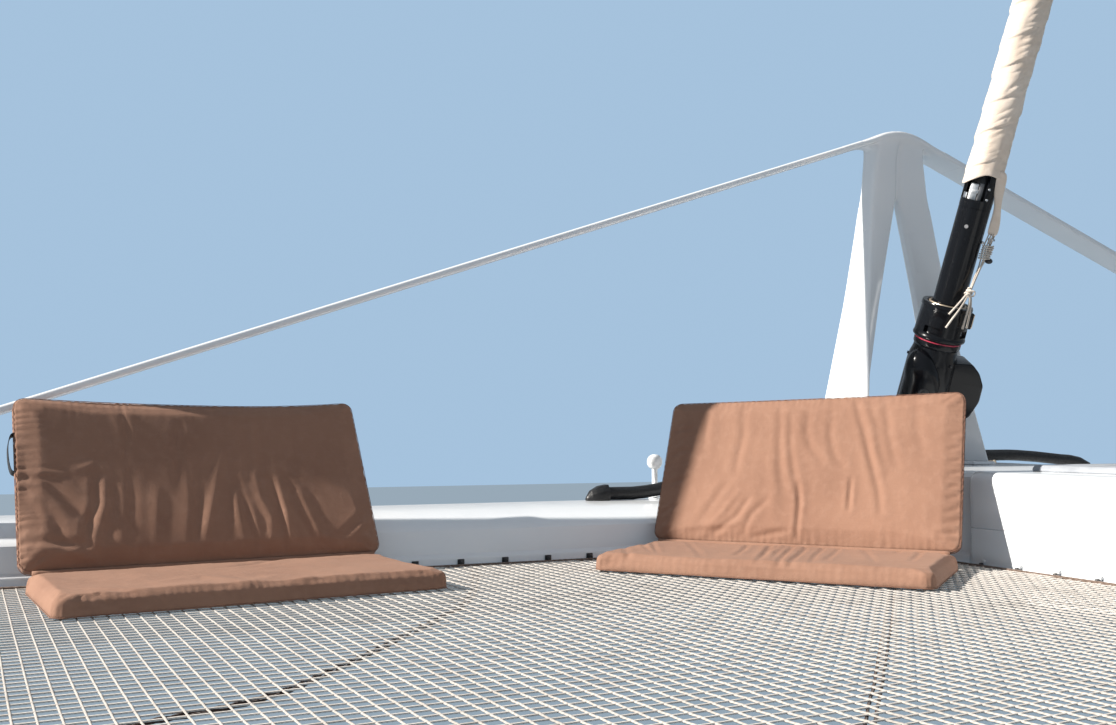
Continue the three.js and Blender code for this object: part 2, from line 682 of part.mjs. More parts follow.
function addSeats() {
  for (const [name, x, y, turn, lean] of seats) {
    const place = new THREE.Group();
    place.position.set(x, y, seat.rest);
    place.rotation.z = radians(turn);
    assembly.add(place);
    addPiece(`${name}_pad`, padGeometry(seat.width, seat.depth, seat.thickness), 'seatCloth', place);

    // The back turns about the hinge tube and stands leaning away from the sitter.
    const hinge = new THREE.Group();
    hinge.position.set(0, -hingeTube.inset, seat.thickness + gap + hingeTube.radius);
    place.add(hinge);
    const { radius, length, endGap, faceGap } = hingeTube;
    const roll = rod(radius, -length / 2, length / 2).rotateY(Math.PI / 2);
    addPiece(`${name}_hinge`, roll, 'seatCloth', hinge);
    const leaning = new THREE.Group();
    leaning.rotation.x = radians(-90 - lean);
    hinge.add(leaning);
    const back = padGeometry(seat.width, seat.back, seat.thickness);
    addPiece(`${name}_back`, back.translate(0, -endGap, faceGap), 'seatCloth', leaning);
  }
}

const hoseCurve = new THREE.CatmullRomCurve3(hoseRoute.map(([x, z]) => new THREE.Vector3(x, hose.y, z)));

function addHose() {
  const section = new THREE.Shape(Array.from({ length: hose.sides }, (_, i) => {
    const angle = (2 * Math.PI * i) / hose.sides;
    return new THREE.Vector2(hose.radius * Math.cos(angle), hose.radius * Math.sin(angle));
  }));
  const tube = new THREE.ExtrudeGeometry(section, { steps: hose.steps, extrudePath: hoseCurve });
  addPiece('deck_hose', tube, 'blackRubber');
}

// What holds the hose: a cover at its port end, saddle clips, and a flange round its starboard end.
function addHoseFittings() {
  const bottom = beam.crown + gap;
  const [endX] = hoseRoute[0];
  const coverSections = hoseCover.map(([outboard, half, height]) => {
    const shoulder = height * 0.6;
    const crest = half * 0.5;
    return [[-half, 0], [half, 0], [half, shoulder], [crest, height], [-crest, height], [-half, shoulder]]
      .map(([y, z]) => new THREE.Vector3(endX - outboard, hose.y + y, bottom + z));
  });
  addPiece('hose_cover', loft(coverSections, alongX), 'blackRubber');

  const names = ['port', 'middle', 'starboard'];
  const deck = pedestal.top + gap;
  hoseClip.places.forEach((x, n) => {
    const middle = hoseCurve.getSpacedPoints(400).find((p) => p.x > x).z - deck;
    const inner = hose.radius + gap * 2;
    const outer = inner + hoseClip.wall;
    const arch = (radius, turn) => Array.from({ length: hoseClip.steps + 1 }, (_, i) => {
      const angle = (Math.PI * (turn > 0 ? i : hoseClip.steps - i)) / hoseClip.steps;
      return new THREE.Vector2(radius * Math.cos(angle), middle + radius * Math.sin(angle));
    });
    const reach = outer + hoseClip.foot;
    const outline = new THREE.Shape([
      new THREE.Vector2(reach, 0), new THREE.Vector2(reach, hoseClip.wall),
      new THREE.Vector2(outer, hoseClip.wall), ...arch(outer, 1),
      new THREE.Vector2(-outer, hoseClip.wall), new THREE.Vector2(-reach, hoseClip.wall),
      new THREE.Vector2(-reach, 0), new THREE.Vector2(-inner, 0), ...arch(inner, -1),
      new THREE.Vector2(inner, 0),
    ]);
    const clip = new THREE.ExtrudeGeometry(outline, { depth: hoseClip.width, bevelEnabled: false });
    clip.rotateX(Math.PI / 2).rotateZ(Math.PI / 2);
    clip.translate(x - hoseClip.width / 2, hose.y, deck);
    addPiece(`hose_clip_${names[n]}`, clip, 'steel');
  });

  const { bore, radius, height } = hoseFlange;
  const flange = turned([
    [bore, 0], [radius, 0], [radius, height / 2], [bore + 4, height], [bore, height], [bore, 0],
  ]);
  addPiece('hose_flange', flange.translate(hoseFlange.x, hose.y, bottom), 'blackRubber');
}

function addDeckLight() {
  const { x, y, post, foot, footHeight, z, radius, halfDepth } = deckLight;
  const low = beam.edgeTop - z;
  const skin = beamTop(x, y) - z;
  const stand = turned([
    [0, low], [foot, low], [foot, skin + footHeight], [post, skin + 2 * footHeight], [post, 0], [0, 0],
  ]);
  const lamp = turned([
    [0, -halfDepth], [radius * 0.7, -halfDepth], [radius, -halfDepth * 0.5], [radius, halfDepth * 0.5],
    [radius * 0.7, halfDepth], [0, halfDepth],
  ]);
  const light = joined([stand, lamp.rotateX(Math.PI / 2)]).translate(x, y, z);
  addPiece('deck_light', cutBy(light, beamGeometry().translate(0, 0, gap)), 'whitePlastic');
}

addCrossbeam();
addLongeron();
addStriker();
addChainplate();
addFurler();
addForestay();
addTrampolines();
addSeats();
addHose();
addHoseFittings();
addDeckLight();

export default assembly;
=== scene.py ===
# Looks of a catamaran foredeck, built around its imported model. Metres, X to starboard, Y forward, Z up.
import json
import math
import bmesh
import bpy
import numpy as np
from mathutils import Matrix, Vector, noise

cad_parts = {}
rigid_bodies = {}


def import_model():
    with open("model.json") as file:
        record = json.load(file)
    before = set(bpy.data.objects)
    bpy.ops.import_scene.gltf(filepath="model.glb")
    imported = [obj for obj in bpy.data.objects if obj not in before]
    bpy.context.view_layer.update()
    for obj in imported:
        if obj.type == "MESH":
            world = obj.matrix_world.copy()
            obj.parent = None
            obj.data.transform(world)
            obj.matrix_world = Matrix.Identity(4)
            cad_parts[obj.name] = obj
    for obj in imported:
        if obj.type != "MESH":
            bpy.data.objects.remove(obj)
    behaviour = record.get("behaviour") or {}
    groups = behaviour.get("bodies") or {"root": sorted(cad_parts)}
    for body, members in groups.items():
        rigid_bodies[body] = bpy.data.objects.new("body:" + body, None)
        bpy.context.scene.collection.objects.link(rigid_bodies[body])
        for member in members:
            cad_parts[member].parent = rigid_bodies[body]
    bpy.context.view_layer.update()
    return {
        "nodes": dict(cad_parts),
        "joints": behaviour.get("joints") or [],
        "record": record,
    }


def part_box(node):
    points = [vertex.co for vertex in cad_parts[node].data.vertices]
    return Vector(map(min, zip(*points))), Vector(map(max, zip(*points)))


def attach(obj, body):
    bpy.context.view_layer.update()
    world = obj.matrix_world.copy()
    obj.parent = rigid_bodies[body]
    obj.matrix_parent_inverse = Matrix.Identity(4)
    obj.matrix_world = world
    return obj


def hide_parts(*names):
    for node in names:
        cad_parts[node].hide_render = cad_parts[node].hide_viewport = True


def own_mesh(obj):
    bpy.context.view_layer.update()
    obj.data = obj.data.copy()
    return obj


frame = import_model()
scene = bpy.context.scene
joints = {joint["name"]: joint for joint in frame["joints"]}
bodyOf = {node: body for body, nodes in frame["record"]["behaviour"]["bodies"].items() for node in nodes}
rad = math.radians

# Camera

view = {
    "eye": (-3.03, 0.30, 0.40),
    "heading": 24.0,         # degrees to starboard of straight ahead
    "pitch": 3.70,           # degrees up
    "focalPixels": 1120.0,
    "framePixels": 1116.0,
    "sensor": 36.0,
}


def setCamera():
    data = bpy.data.cameras.new("deckCamera")
    data.sensor_width = view["sensor"]
    data.lens = view["sensor"] * view["focalPixels"] / view["framePixels"]
    data.clip_start, data.clip_end = 0.05, 200
    camera = bpy.data.objects.new("deckCamera", data)
    camera.location = view["eye"]
    camera.rotation_euler = (rad(90 + view["pitch"]), 0, -rad(view["heading"]))
    scene.collection.objects.link(camera)
    scene.camera = camera


setCamera()
print("camera set")

# Small tools for making pieces


def linked(name, mesh, material):
    obj = bpy.data.objects.new(name, mesh)
    scene.collection.objects.link(obj)
    mesh.materials.clear()
    mesh.materials.append(material)
    return obj


def markSmooth(mesh, sharpAngle=None):
    mesh.polygons.foreach_set("use_smooth", [True] * len(mesh.polygons))
    if sharpAngle:
        bm = bmesh.new()
        bm.from_mesh(mesh)
        for edge in bm.edges:
            edge.smooth = edge.calc_face_angle(0) < rad(sharpAngle)
        bm.to_mesh(mesh)
        bm.free()


def toObject(bm, name, material, sharpAngle=None):
    mesh = bpy.data.meshes.new(name)
    bm.to_mesh(mesh)
    bm.free()
    markSmooth(mesh, sharpAngle)
    return linked(name, mesh, material)


def dress(obj, body, slotName, *nodes):
    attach(obj, body)
    if nodes:
        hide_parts(*nodes)
    return obj


def subdivided(obj, levels):
    modifier = obj.modifiers.new("Smooth", "SUBSURF")
    modifier.levels = modifier.render_levels = levels
    return obj


def bevelled(obj, width, segments=2, angle=35):
    modifier = obj.modifiers.new("Edges", "BEVEL")
    modifier.width = width
    modifier.segments = segments
    modifier.limit_method = "ANGLE"
    modifier.angle_limit = rad(angle)
    return obj


# The first ring comes from a few points, and each next one is extruded and moved to its place
def loft(bm, rings, capped=True):
    count = len(rings[0])
    ringVerts = [bm.verts.new(point) for point in rings[0]]
    edges = [bm.edges.new((ringVerts[i], ringVerts[(i + 1) % count])) for i in range(count)]
    layers = [ringVerts]
    for ring in rings[1:]:
        made = bmesh.ops.extrude_edge_only(bm, edges=edges)["geom"]
        fresh = {item for item in made if isinstance(item, bmesh.types.BMVert)}
        moved = []
        for old, point in zip(layers[-1], ring):
            new = next(e.other_vert(old) for e in old.link_edges if e.other_vert(old) in fresh)
            new.co = point
            moved.append(new)
        edges = [item for item in made if isinstance(item, bmesh.types.BMEdge)
                 and item.verts[0] in fresh and item.verts[1] in fresh]
        layers.append(moved)
    if capped:
        bm.faces.new(layers[0])
        bm.faces.new(layers[-1])
    bmesh.ops.recalc_face_normals(bm, faces=bm.faces)
    return layers


# Lays a UV in metres over a loft: across is the way round, up is the way along
def wrapUv(bm, layers):
    uvLayer = bm.loops.layers.uv.get("cloth") or bm.loops.layers.uv.new("cloth")
    spot, girth, along = {}, {}, 0.0
    for ringIndex, ring in enumerate(layers):
        if ringIndex:
            along += (ring[0].co - layers[ringIndex - 1][0].co).length
        around = 0.0
        for i, vert in enumerate(ring):
            spot[vert] = (around, along)
            around += (ring[(i + 1) % len(ring)].co - vert.co).length
        for vert in ring:
            girth[vert] = around
    for face in {face for ring in layers for vert in ring for face in vert.link_faces}:
        widest = max(spot[loop.vert][0] for loop in face.loops)
        for loop in face.loops:
            across, up = spot[loop.vert]
            if widest - across > 0.6 * girth[loop.vert]:
                across += girth[loop.vert]
            loop[uvLayer].uv = (across, up)


# Rings of a round section along a path; radius is a number or a list with one for each point
def tubeRings(path, radius, sides=8):
    radii = radius if isinstance(radius, list) else [radius] * len(path)
    rings, across = [], None
    for i, point in enumerate(path):
        ahead = (path[min(i + 1, len(path) - 1)] - path[max(i - 1, 0)]).normalized()
        across = ahead.orthogonal() if across is None else across - ahead * across.dot(ahead)
        across.normalize()
        other = ahead.cross(across)
        rings.append([point + radii[i] * (math.cos(a) * across + math.sin(a) * other)
                      for a in (2 * math.pi * s / sides for s in range(sides))])
    return rings


def addTube(bm, path, radius, sides=8):
    return loft(bm, tubeRings([Vector(p) for p in path], radius, sides))


# A profile of radius and height pairs, spun about Z
def turned(profile, steps=56):
    bm = bmesh.new()
    verts = [bm.verts.new((radius, 0, height)) for radius, height in profile]
    edges = [bm.edges.new(pair) for pair in zip(verts, verts[1:])]
    bmesh.ops.spin(bm, geom=verts + edges, cent=(0, 0, 0), axis=(0, 0, 1), angle=2 * math.pi,
                   steps=steps, use_merge=True)
    bmesh.ops.remove_doubles(bm, verts=bm.verts, dist=1e-6)
    bmesh.ops.recalc_face_normals(bm, faces=bm.faces)
    return bm


# A node's own form with merged corners, clean faces and softened edges
def finerCopy(node, slotName, material, edge=0.0012, sharpAngle=30):
    bm = bmesh.new()
    bm.from_mesh(frame["nodes"][node].data)
    bmesh.ops.remove_doubles(bm, verts=bm.verts, dist=1e-5)
    bmesh.ops.dissolve_limit(bm, angle_limit=rad(1.5), verts=bm.verts, edges=bm.edges)
    obj = toObject(bm, node + "_finish", material, None if edge else sharpAngle)
    if edge:
        bevelled(obj, edge)
    return dress(obj, bodyOf[node], slotName, node)


def ease(t):
    t = min(1.0, max(0.0, t))
    return t * t * (3 - 2 * t)


# Shader node groups


def addNode(tree, kind, inputs=None, **settings):
    node = tree.nodes.new(kind)
    for key, value in settings.items():
        setattr(node, key, value)
    for key, value in (inputs or {}).items():
        node.inputs[key].default_value = value
    return node


def newGroup(name, inputs, outputs):
    tree = bpy.data.node_groups.new(name, "ShaderNodeTree")
    for label, kind, value in inputs:
        socket = tree.interface.new_socket(name=label, in_out="INPUT", socket_type=kind)
        if value is not None:
            socket.default_value = value
    for label, kind in outputs:
        tree.interface.new_socket(name=label, in_out="OUTPUT", socket_type=kind)
    return tree, tree.nodes.new("NodeGroupInput"), tree.nodes.new("NodeGroupOutput")


# Soft blotches between 0 and 1
def mottleGroup():
    tree, start, end = newGroup(
        "mottle",
        [("Vector", "NodeSocketVector", None), ("Scale", "NodeSocketFloat", 4.0),
         ("Detail", "NodeSocketFloat", 3.0), ("Low", "NodeSocketFloat", 0.4),
         ("High", "NodeSocketFloat", 0.65)],
        [("Mask", "NodeSocketFloat")])
    blotches = addNode(tree, "ShaderNodeTexNoise")
    spread = addNode(tree, "ShaderNodeMapRange", interpolation_type="SMOOTHSTEP")
    tree.links.new(start.outputs["Vector"], blotches.inputs["Vector"])
    tree.links.new(start.outputs["Scale"], blotches.inputs["Scale"])
    tree.links.new(start.outputs["Detail"], blotches.inputs["Detail"])
    tree.links.new(blotches.outputs["Fac"], spread.inputs["Value"])
    tree.links.new(start.outputs["Low"], spread.inputs["From Min"])
    tree.links.new(start.outputs["High"], spread.inputs["From Max"])
    tree.links.new(spread.outputs["Result"], end.inputs["Mask"])
    return tree


# A plain weave of threads each way, with slubs
def weaveGroup():
    tree, start, end = newGroup(
        "weave",
        [("Vector", "NodeSocketVector", None), ("Threads", "NodeSocketFloat", 600.0)],
        [("Height", "NodeSocketFloat"), ("Slubs", "NodeSocketFloat")])
    counted = addNode(tree, "ShaderNodeVectorMath", operation="SCALE")
    split = addNode(tree, "ShaderNodeSeparateXYZ")
    tree.links.new(start.outputs["Vector"], counted.inputs[0])
    tree.links.new(start.outputs["Threads"], counted.inputs["Scale"])
    tree.links.new(counted.outputs["Vector"], split.inputs["Vector"])
    waves = []
    for axis in ("X", "Y"):
        wave = addNode(tree, "ShaderNodeMath", operation="SINE")
        tree.links.new(split.outputs[axis], wave.inputs[0])
        waves.append(wave)
    crossing = addNode(tree, "ShaderNodeMath", operation="MULTIPLY")
    tree.links.new(waves[0].outputs["Value"], crossing.inputs[0])
    tree.links.new(waves[1].outputs["Value"], crossing.inputs[1])
    stretched = addNode(tree, "ShaderNodeVectorMath", {1: (1.0, 14.0, 3.0)}, operation="MULTIPLY")
    slubs = addNode(tree, "ShaderNodeTexNoise", {"Scale": 22.0, "Detail": 3.0})
    tree.links.new(start.outputs["Vector"], stretched.inputs[0])
    tree.links.new(stretched.outputs["Vector"], slubs.inputs["Vector"])
    tree.links.new(crossing.outputs["Value"], end.inputs["Height"])
    tree.links.new(slubs.outputs["Fac"], end.inputs["Slubs"])
    return tree


# Slanting strands of a laid rope: X is along it, Y and Z are across
def strandGroup():
    tree, start, end = newGroup(
        "strands",
        [("Vector", "NodeSocketVector", None), ("Pitch", "NodeSocketFloat", 0.012),
         ("Slant", "NodeSocketFloat", 1.2)],
        [("Height", "NodeSocketFloat")])
    split = addNode(tree, "ShaderNodeSeparateXYZ")
    across = addNode(tree, "ShaderNodeMath", operation="ADD")
    leaned = addNode(tree, "ShaderNodeMath", operation="MULTIPLY_ADD")
    turns = addNode(tree, "ShaderNodeMath", operation="DIVIDE")
    angle = addNode(tree, "ShaderNodeMath", {1: math.pi}, operation="MULTIPLY")
    wave = addNode(tree, "ShaderNodeMath", operation="SINE")
    lobe = addNode(tree, "ShaderNodeMath", operation="ABSOLUTE")
    tree.links.new(start.outputs["Vector"], split.inputs["Vector"])
    tree.links.new(split.outputs["Y"], across.inputs[0])
    tree.links.new(split.outputs["Z"], across.inputs[1])
    tree.links.new(across.outputs["Value"], leaned.inputs[0])
    tree.links.new(start.outputs["Slant"], leaned.inputs[1])
    tree.links.new(split.outputs["X"], leaned.inputs[2])
    tree.links.new(leaned.outputs["Value"], turns.inputs[0])
    tree.links.new(start.outputs["Pitch"], turns.inputs[1])
    tree.links.new(turns.outputs["Value"], angle.inputs[0])
    tree.links.new(angle.outputs["Value"], wave.inputs[0])
    tree.links.new(wave.outputs["Value"], lobe.inputs[0])
    tree.links.new(lobe.outputs["Value"], end.inputs["Height"])
    return tree


# Dust and salt that lie on faces that look up
def settledGroup():
    tree, start, end = newGroup(
        "settled",
        [("Vector", "NodeSocketVector", None), ("Scale", "NodeSocketFloat", 9.0),
         ("Amount", "NodeSocketFloat", 0.5)],
        [("Mask", "NodeSocketFloat")])
    surface = addNode(tree, "ShaderNodeNewGeometry")
    split = addNode(tree, "ShaderNodeSeparateXYZ")
    upward = addNode(tree, "ShaderNodeMapRange", {"From Min": 0.15, "From Max": 0.95})
    specks = addNode(tree, "ShaderNodeTexNoise", {"Detail": 6.0, "Roughness": 0.65})
    spread = addNode(tree, "ShaderNodeMapRange", {"From Min": 0.38, "From Max": 0.7})
    joined = addNode(tree, "ShaderNodeMath", operation="MULTIPLY")
    scaled = addNode(tree, "ShaderNodeMath", operation="MULTIPLY")
    tree.links.new(surface.outputs["Normal"], split.inputs["Vector"])
    tree.links.new(split.outputs["Z"], upward.inputs["Value"])
    tree.links.new(start.outputs["Vector"], specks.inputs["Vector"])
    tree.links.new(start.outputs["Scale"], specks.inputs["Scale"])
    tree.links.new(specks.outputs["Fac"], spread.inputs["Value"])
    tree.links.new(upward.outputs["Result"], joined.inputs[0])
    tree.links.new(spread.outputs["Result"], joined.inputs[1])
    tree.links.new(joined.outputs["Value"], scaled.inputs[0])
    tree.links.new(start.outputs["Amount"], scaled.inputs[1])
    tree.links.new(scaled.outputs["Value"], end.inputs["Mask"])
    return tree


# Streaks that run down a face
def streakGroup():
    tree, start, end = newGroup(
        "streaks",
        [("Vector", "NodeSocketVector", None), ("Scale", "NodeSocketFloat", 8.0),
         ("Amount", "NodeSocketFloat", 0.5)],
        [("Mask", "NodeSocketFloat")])
    stretched = addNode(tree, "ShaderNodeVectorMath", {1: (1.0, 1.0, 0.12)}, operation="MULTIPLY")
    runs = addNode(tree, "ShaderNodeTexNoise", {"Detail": 5.0, "Roughness": 0.6})
    spread = addNode(tree, "ShaderNodeMapRange", {"From Min": 0.5, "From Max": 0.78})
    scaled = addNode(tree, "ShaderNodeMath", operation="MULTIPLY")
    tree.links.new(start.outputs["Vector"], stretched.inputs[0])
    tree.links.new(stretched.outputs["Vector"], runs.inputs["Vector"])
    tree.links.new(start.outputs["Scale"], runs.inputs["Scale"])
    tree.links.new(runs.outputs["Fac"], spread.inputs["Value"])
    tree.links.new(spread.outputs["Result"], scaled.inputs[0])
    tree.links.new(start.outputs["Amount"], scaled.inputs[1])
    tree.links.new(scaled.outputs["Value"], end.inputs["Mask"])
    return tree


groups = {"mottle": mottleGroup(), "weave": weaveGroup(), "strands": strandGroup(),
          "settled": settledGroup(), "streaks": streakGroup()}

# Materials


def newMaterial(name, color, roughness, **shaderValues):
    material = bpy.data.materials.new(name)
    material.use_nodes = True
    shader = material.node_tree.nodes["Principled BSDF"]
    shader.inputs["Base Color"].default_value = (*color, 1)
    shader.inputs["Roughness"].default_value = roughness
    for label, value in shaderValues.items():
        shader.inputs[label.replace("_", " ")].default_value = value
    return material, material.node_tree, shader


def placed(tree, name, vector, **values):
    node = tree.nodes.new("ShaderNodeGroup")
    node.node_tree = groups[name]
    for label, value in values.items():
        node.inputs[label].default_value = value
    tree.links.new(vector, node.inputs["Vector"])
    return node


def coordinates(tree, kind="Object", rotation=(0, 0, 0), scale=(1, 1, 1), location=(0, 0, 0)):
    source = tree.nodes.new("ShaderNodeTexCoord")
    mapping = tree.nodes.new("ShaderNodeMapping")
    mapping.inputs["Rotation"].default_value = rotation
    mapping.inputs["Scale"].default_value = scale
    mapping.inputs["Location"].default_value = location
    tree.links.new(source.outputs[kind], mapping.inputs["Vector"])
    return mapping.outputs["Vector"]


def mixed(tree, mask, under, over):
    node = addNode(tree, "ShaderNodeMix", data_type="RGBA")
    for socket, value in ((node.inputs[6], under), (node.inputs[7], over)):
        if isinstance(value, tuple):
            socket.default_value = (*value, 1)
        else:
            tree.links.new(value, socket)
    tree.links.new(mask, node.inputs[0])
    return node.outputs[2]


def ranged(tree, value, low, high):
    node = addNode(tree, "ShaderNodeMapRange", {"To Min": low, "To Max": high})
    tree.links.new(value, node.inputs["Value"])
    return node.outputs["Result"]


# Each (height, distance) bump is laid on the one before
def bumped(tree, shader, *heights):
    below = None
    for height, distance in heights:
        node = addNode(tree, "ShaderNodeBump", {"Strength": 1.0, "Distance": distance})
        tree.links.new(height, node.inputs["Height"])
        if below:
            tree.links.new(below, node.inputs["Normal"])
        below = node.outputs["Normal"]
    tree.links.new(below, shader.inputs["Normal"])


def gelcoatMaterial():
    material, tree, shader = newMaterial("gelcoat", (0.84, 0.86, 0.875), 0.2, Coat_Weight=0.25,
                                         Coat_Roughness=0.08)
    at = coordinates(tree)
    soft = placed(tree, "mottle", at, Scale=1.7, Low=0.35, High=0.75)
    salt = placed(tree, "settled", at, Scale=14.0, Amount=0.05)
    runs = placed(tree, "streaks", at, Scale=6.0, Amount=0.08)
    color = mixed(tree, soft.outputs["Mask"], (0.86, 0.875, 0.885), (0.80, 0.825, 0.85))
    color = mixed(tree, runs.outputs["Mask"], color, (0.62, 0.63, 0.62))
    color = mixed(tree, salt.outputs["Mask"], color, (0.60, 0.58, 0.54))
    tree.links.new(color, shader.inputs["Base Color"])
    tree.links.new(ranged(tree, salt.outputs["Mask"], 0.18, 0.7), shader.inputs["Roughness"])
    wave = placed(tree, "mottle", at, Scale=5.0, Detail=1.0, Low=0.2, High=0.8)
    peel = placed(tree, "mottle", at, Scale=260.0, Detail=1.0, Low=0.2, High=0.8)
    bumped(tree, shader, (wave.outputs["Mask"], 0.0012), (peel.outputs["Mask"], 0.00004))
    return material


def deckGripMaterial():
    material, tree, shader = newMaterial("deckGrip", (0.35, 0.37, 0.40), 0.75)
    at = coordinates(tree)
    soft = placed(tree, "mottle", at, Scale=7.0)
    grip = addNode(tree, "ShaderNodeTexVoronoi", {"Scale": 190.0})
    tree.links.new(at, grip.inputs["Vector"])
    tree.links.new(mixed(tree, soft.outputs["Mask"], (0.37, 0.39, 0.42), (0.26, 0.275, 0.30)),
                   shader.inputs["Base Color"])
    bumped(tree, shader, (grip.outputs["Distance"], 0.0008))
    return material


def steelMaterial():
    material, tree, shader = newMaterial("steel", (0.62, 0.63, 0.65), 0.26, Metallic=1.0)
    at = coordinates(tree, scale=(1, 1, 22))
    brushed = placed(tree, "mottle", at, Scale=40.0, Detail=4.0, Low=0.3, High=0.7)
    tree.links.new(ranged(tree, brushed.outputs["Mask"], 0.2, 0.42), shader.inputs["Roughness"])
    stain = placed(tree, "mottle", coordinates(tree), Scale=22.0, Low=0.55, High=0.8)
    tree.links.new(mixed(tree, stain.outputs["Mask"], (0.64, 0.65, 0.67), (0.42, 0.37, 0.32)),
                   shader.inputs["Base Color"])
    bumped(tree, shader, (brushed.outputs["Mask"], 0.00006))
    return material


def blackPaintMaterial():
    material, tree, shader = newMaterial("blackPaint", (0.004, 0.0045, 0.006), 0.24, Coat_Weight=0.1,
                                         Coat_Roughness=0.1, Specular_IOR_Level=0.22)
    at = coordinates(tree)
    salt = placed(tree, "settled", at, Scale=30.0, Amount=0.008)
    scuffs = placed(tree, "mottle", at, Scale=85.0, Detail=5.0, Low=0.62, High=0.8)
    color = mixed(tree, scuffs.outputs["Mask"], (0.004, 0.0045, 0.006), (0.008, 0.009, 0.010))
    tree.links.new(mixed(tree, salt.outputs["Mask"], color, (0.3, 0.29, 0.27)), shader.inputs["Base Color"])
    tree.links.new(ranged(tree, scuffs.outputs["Mask"], 0.2, 0.45), shader.inputs["Roughness"])
    bumped(tree, shader, (scuffs.outputs["Mask"], 0.00008))
    return material


def sealMaterial():
    material, tree, shader = newMaterial("redSeal", (0.42, 0.03, 0.06), 0.45)
    soft = placed(tree, "mottle", coordinates(tree), Scale=60.0)
    tree.links.new(mixed(tree, soft.outputs["Mask"], (0.45, 0.03, 0.07), (0.25, 0.02, 0.04)),
                   shader.inputs["Base Color"])
    return material


def alloyMaterial():
    material, tree, shader = newMaterial("foilAlloy", (0.75, 0.77, 0.80), 0.35, Metallic=0.85)
    drawn = placed(tree, "mottle", coordinates(tree, scale=(30, 30, 1)), Scale=12.0, Detail=4.0)
    tree.links.new(ranged(tree, drawn.outputs["Mask"], 0.28, 0.5), shader.inputs["Roughness"])
    bumped(tree, shader, (drawn.outputs["Mask"], 0.00008))
    return material


def warmAlloyMaterial():
    material, tree, shader = newMaterial("warmAlloy", (0.62, 0.50, 0.36), 0.38, Metallic=0.8)
    worn = placed(tree, "mottle", coordinates(tree), Scale=70.0, Detail=4.0)
    tree.links.new(mixed(tree, worn.outputs["Mask"], (0.66, 0.54, 0.40), (0.36, 0.29, 0.22)),
                   shader.inputs["Base Color"])
    tree.links.new(ranged(tree, worn.outputs["Mask"], 0.32, 0.55), shader.inputs["Roughness"])
    return material


def clothMaterial(name, threads, light, dark, faded, roughness, sheen, tint, kind="UV"):
    material, tree, shader = newMaterial(name, light, roughness, Sheen_Weight=sheen,
                                         Sheen_Roughness=0.45, Specular_IOR_Level=0.25)
    shader.inputs["Sheen Tint"].default_value = (*tint, 1)
    at = coordinates(tree, kind)
    weave = placed(tree, "weave", at, Threads=threads)
    soft = placed(tree, "mottle", coordinates(tree), Scale=5.0, Low=0.3, High=0.75)
    fine = placed(tree, "mottle", coordinates(tree), Scale=38.0, Detail=5.0, Low=0.4, High=0.8)
    color = mixed(tree, soft.outputs["Mask"], light, dark)
    color = mixed(tree, ranged(tree, weave.outputs["Slubs"], 0.0, 0.5), color, dark)
    color = mixed(tree, ranged(tree, fine.outputs["Mask"], 0.0, 0.35), color, faded)
    tree.links.new(color, shader.inputs["Base Color"])
    bumped(tree, shader, (fine.outputs["Mask"], 0.0006), (weave.outputs["Slubs"], 0.0003),
           (weave.outputs["Height"], 0.00012))
    return material


# Laid cord whose strands follow either a straight direction or the piece's own UV
def cordMaterial(name, color, grooveShadeAndDirt, pitch, slant, depth, kind="Object", rotation=(0, 0, 0)):
    material, tree, shader = newMaterial(name, color, 0.82, Sheen_Weight=0.2,
                                         Specular_IOR_Level=0.3)
    at = coordinates(tree, kind, rotation)
    strands = placed(tree, "strands", at, Pitch=pitch, Slant=slant)
    dirt = placed(tree, "mottle", coordinates(tree), Scale=11.0, Detail=4.0, Low=0.42, High=0.72)
    # Painted shade: the grooves between strands darken towards the second colour, which is also the dirt tone
    shade = ranged(tree, strands.outputs["Height"], 0.55, 0.0)
    toned = mixed(tree, shade, color, grooveShadeAndDirt)
    tree.links.new(mixed(tree, ranged(tree, dirt.outputs["Mask"], 0.0, 0.5), toned, grooveShadeAndDirt),
                   shader.inputs["Base Color"])
    bumped(tree, shader, (strands.outputs["Height"], depth))
    return material


def rubberMaterial():
    material, tree, shader = newMaterial("blackRubber", (0.018, 0.018, 0.02), 0.5)
    at = coordinates(tree)
    salt = placed(tree, "settled", at, Scale=45.0, Amount=0.06)
    fine = placed(tree, "mottle", at, Scale=120.0, Detail=4.0)
    tree.links.new(mixed(tree, salt.outputs["Mask"], (0.005, 0.005, 0.006), (0.08, 0.08, 0.08)),
                   shader.inputs["Base Color"])
    tree.links.new(ranged(tree, fine.outputs["Mask"], 0.42, 0.65), shader.inputs["Roughness"])
    bumped(tree, shader, (fine.outputs["Mask"], 0.0002))
    return material


def plasticMaterial(name, color, roughness):
    material, tree, shader = newMaterial(name, color, roughness)
    soft = placed(tree, "mottle", coordinates(tree), Scale=50.0)
    darker = tuple(0.82 * c for c in color)
    tree.links.new(mixed(tree, soft.outputs["Mask"], color, darker), shader.inputs["Base Color"])
    tree.links.new(ranged(tree, soft.outputs["Mask"], roughness, roughness + 0.15),
                   shader.inputs["Roughness"])
    return material


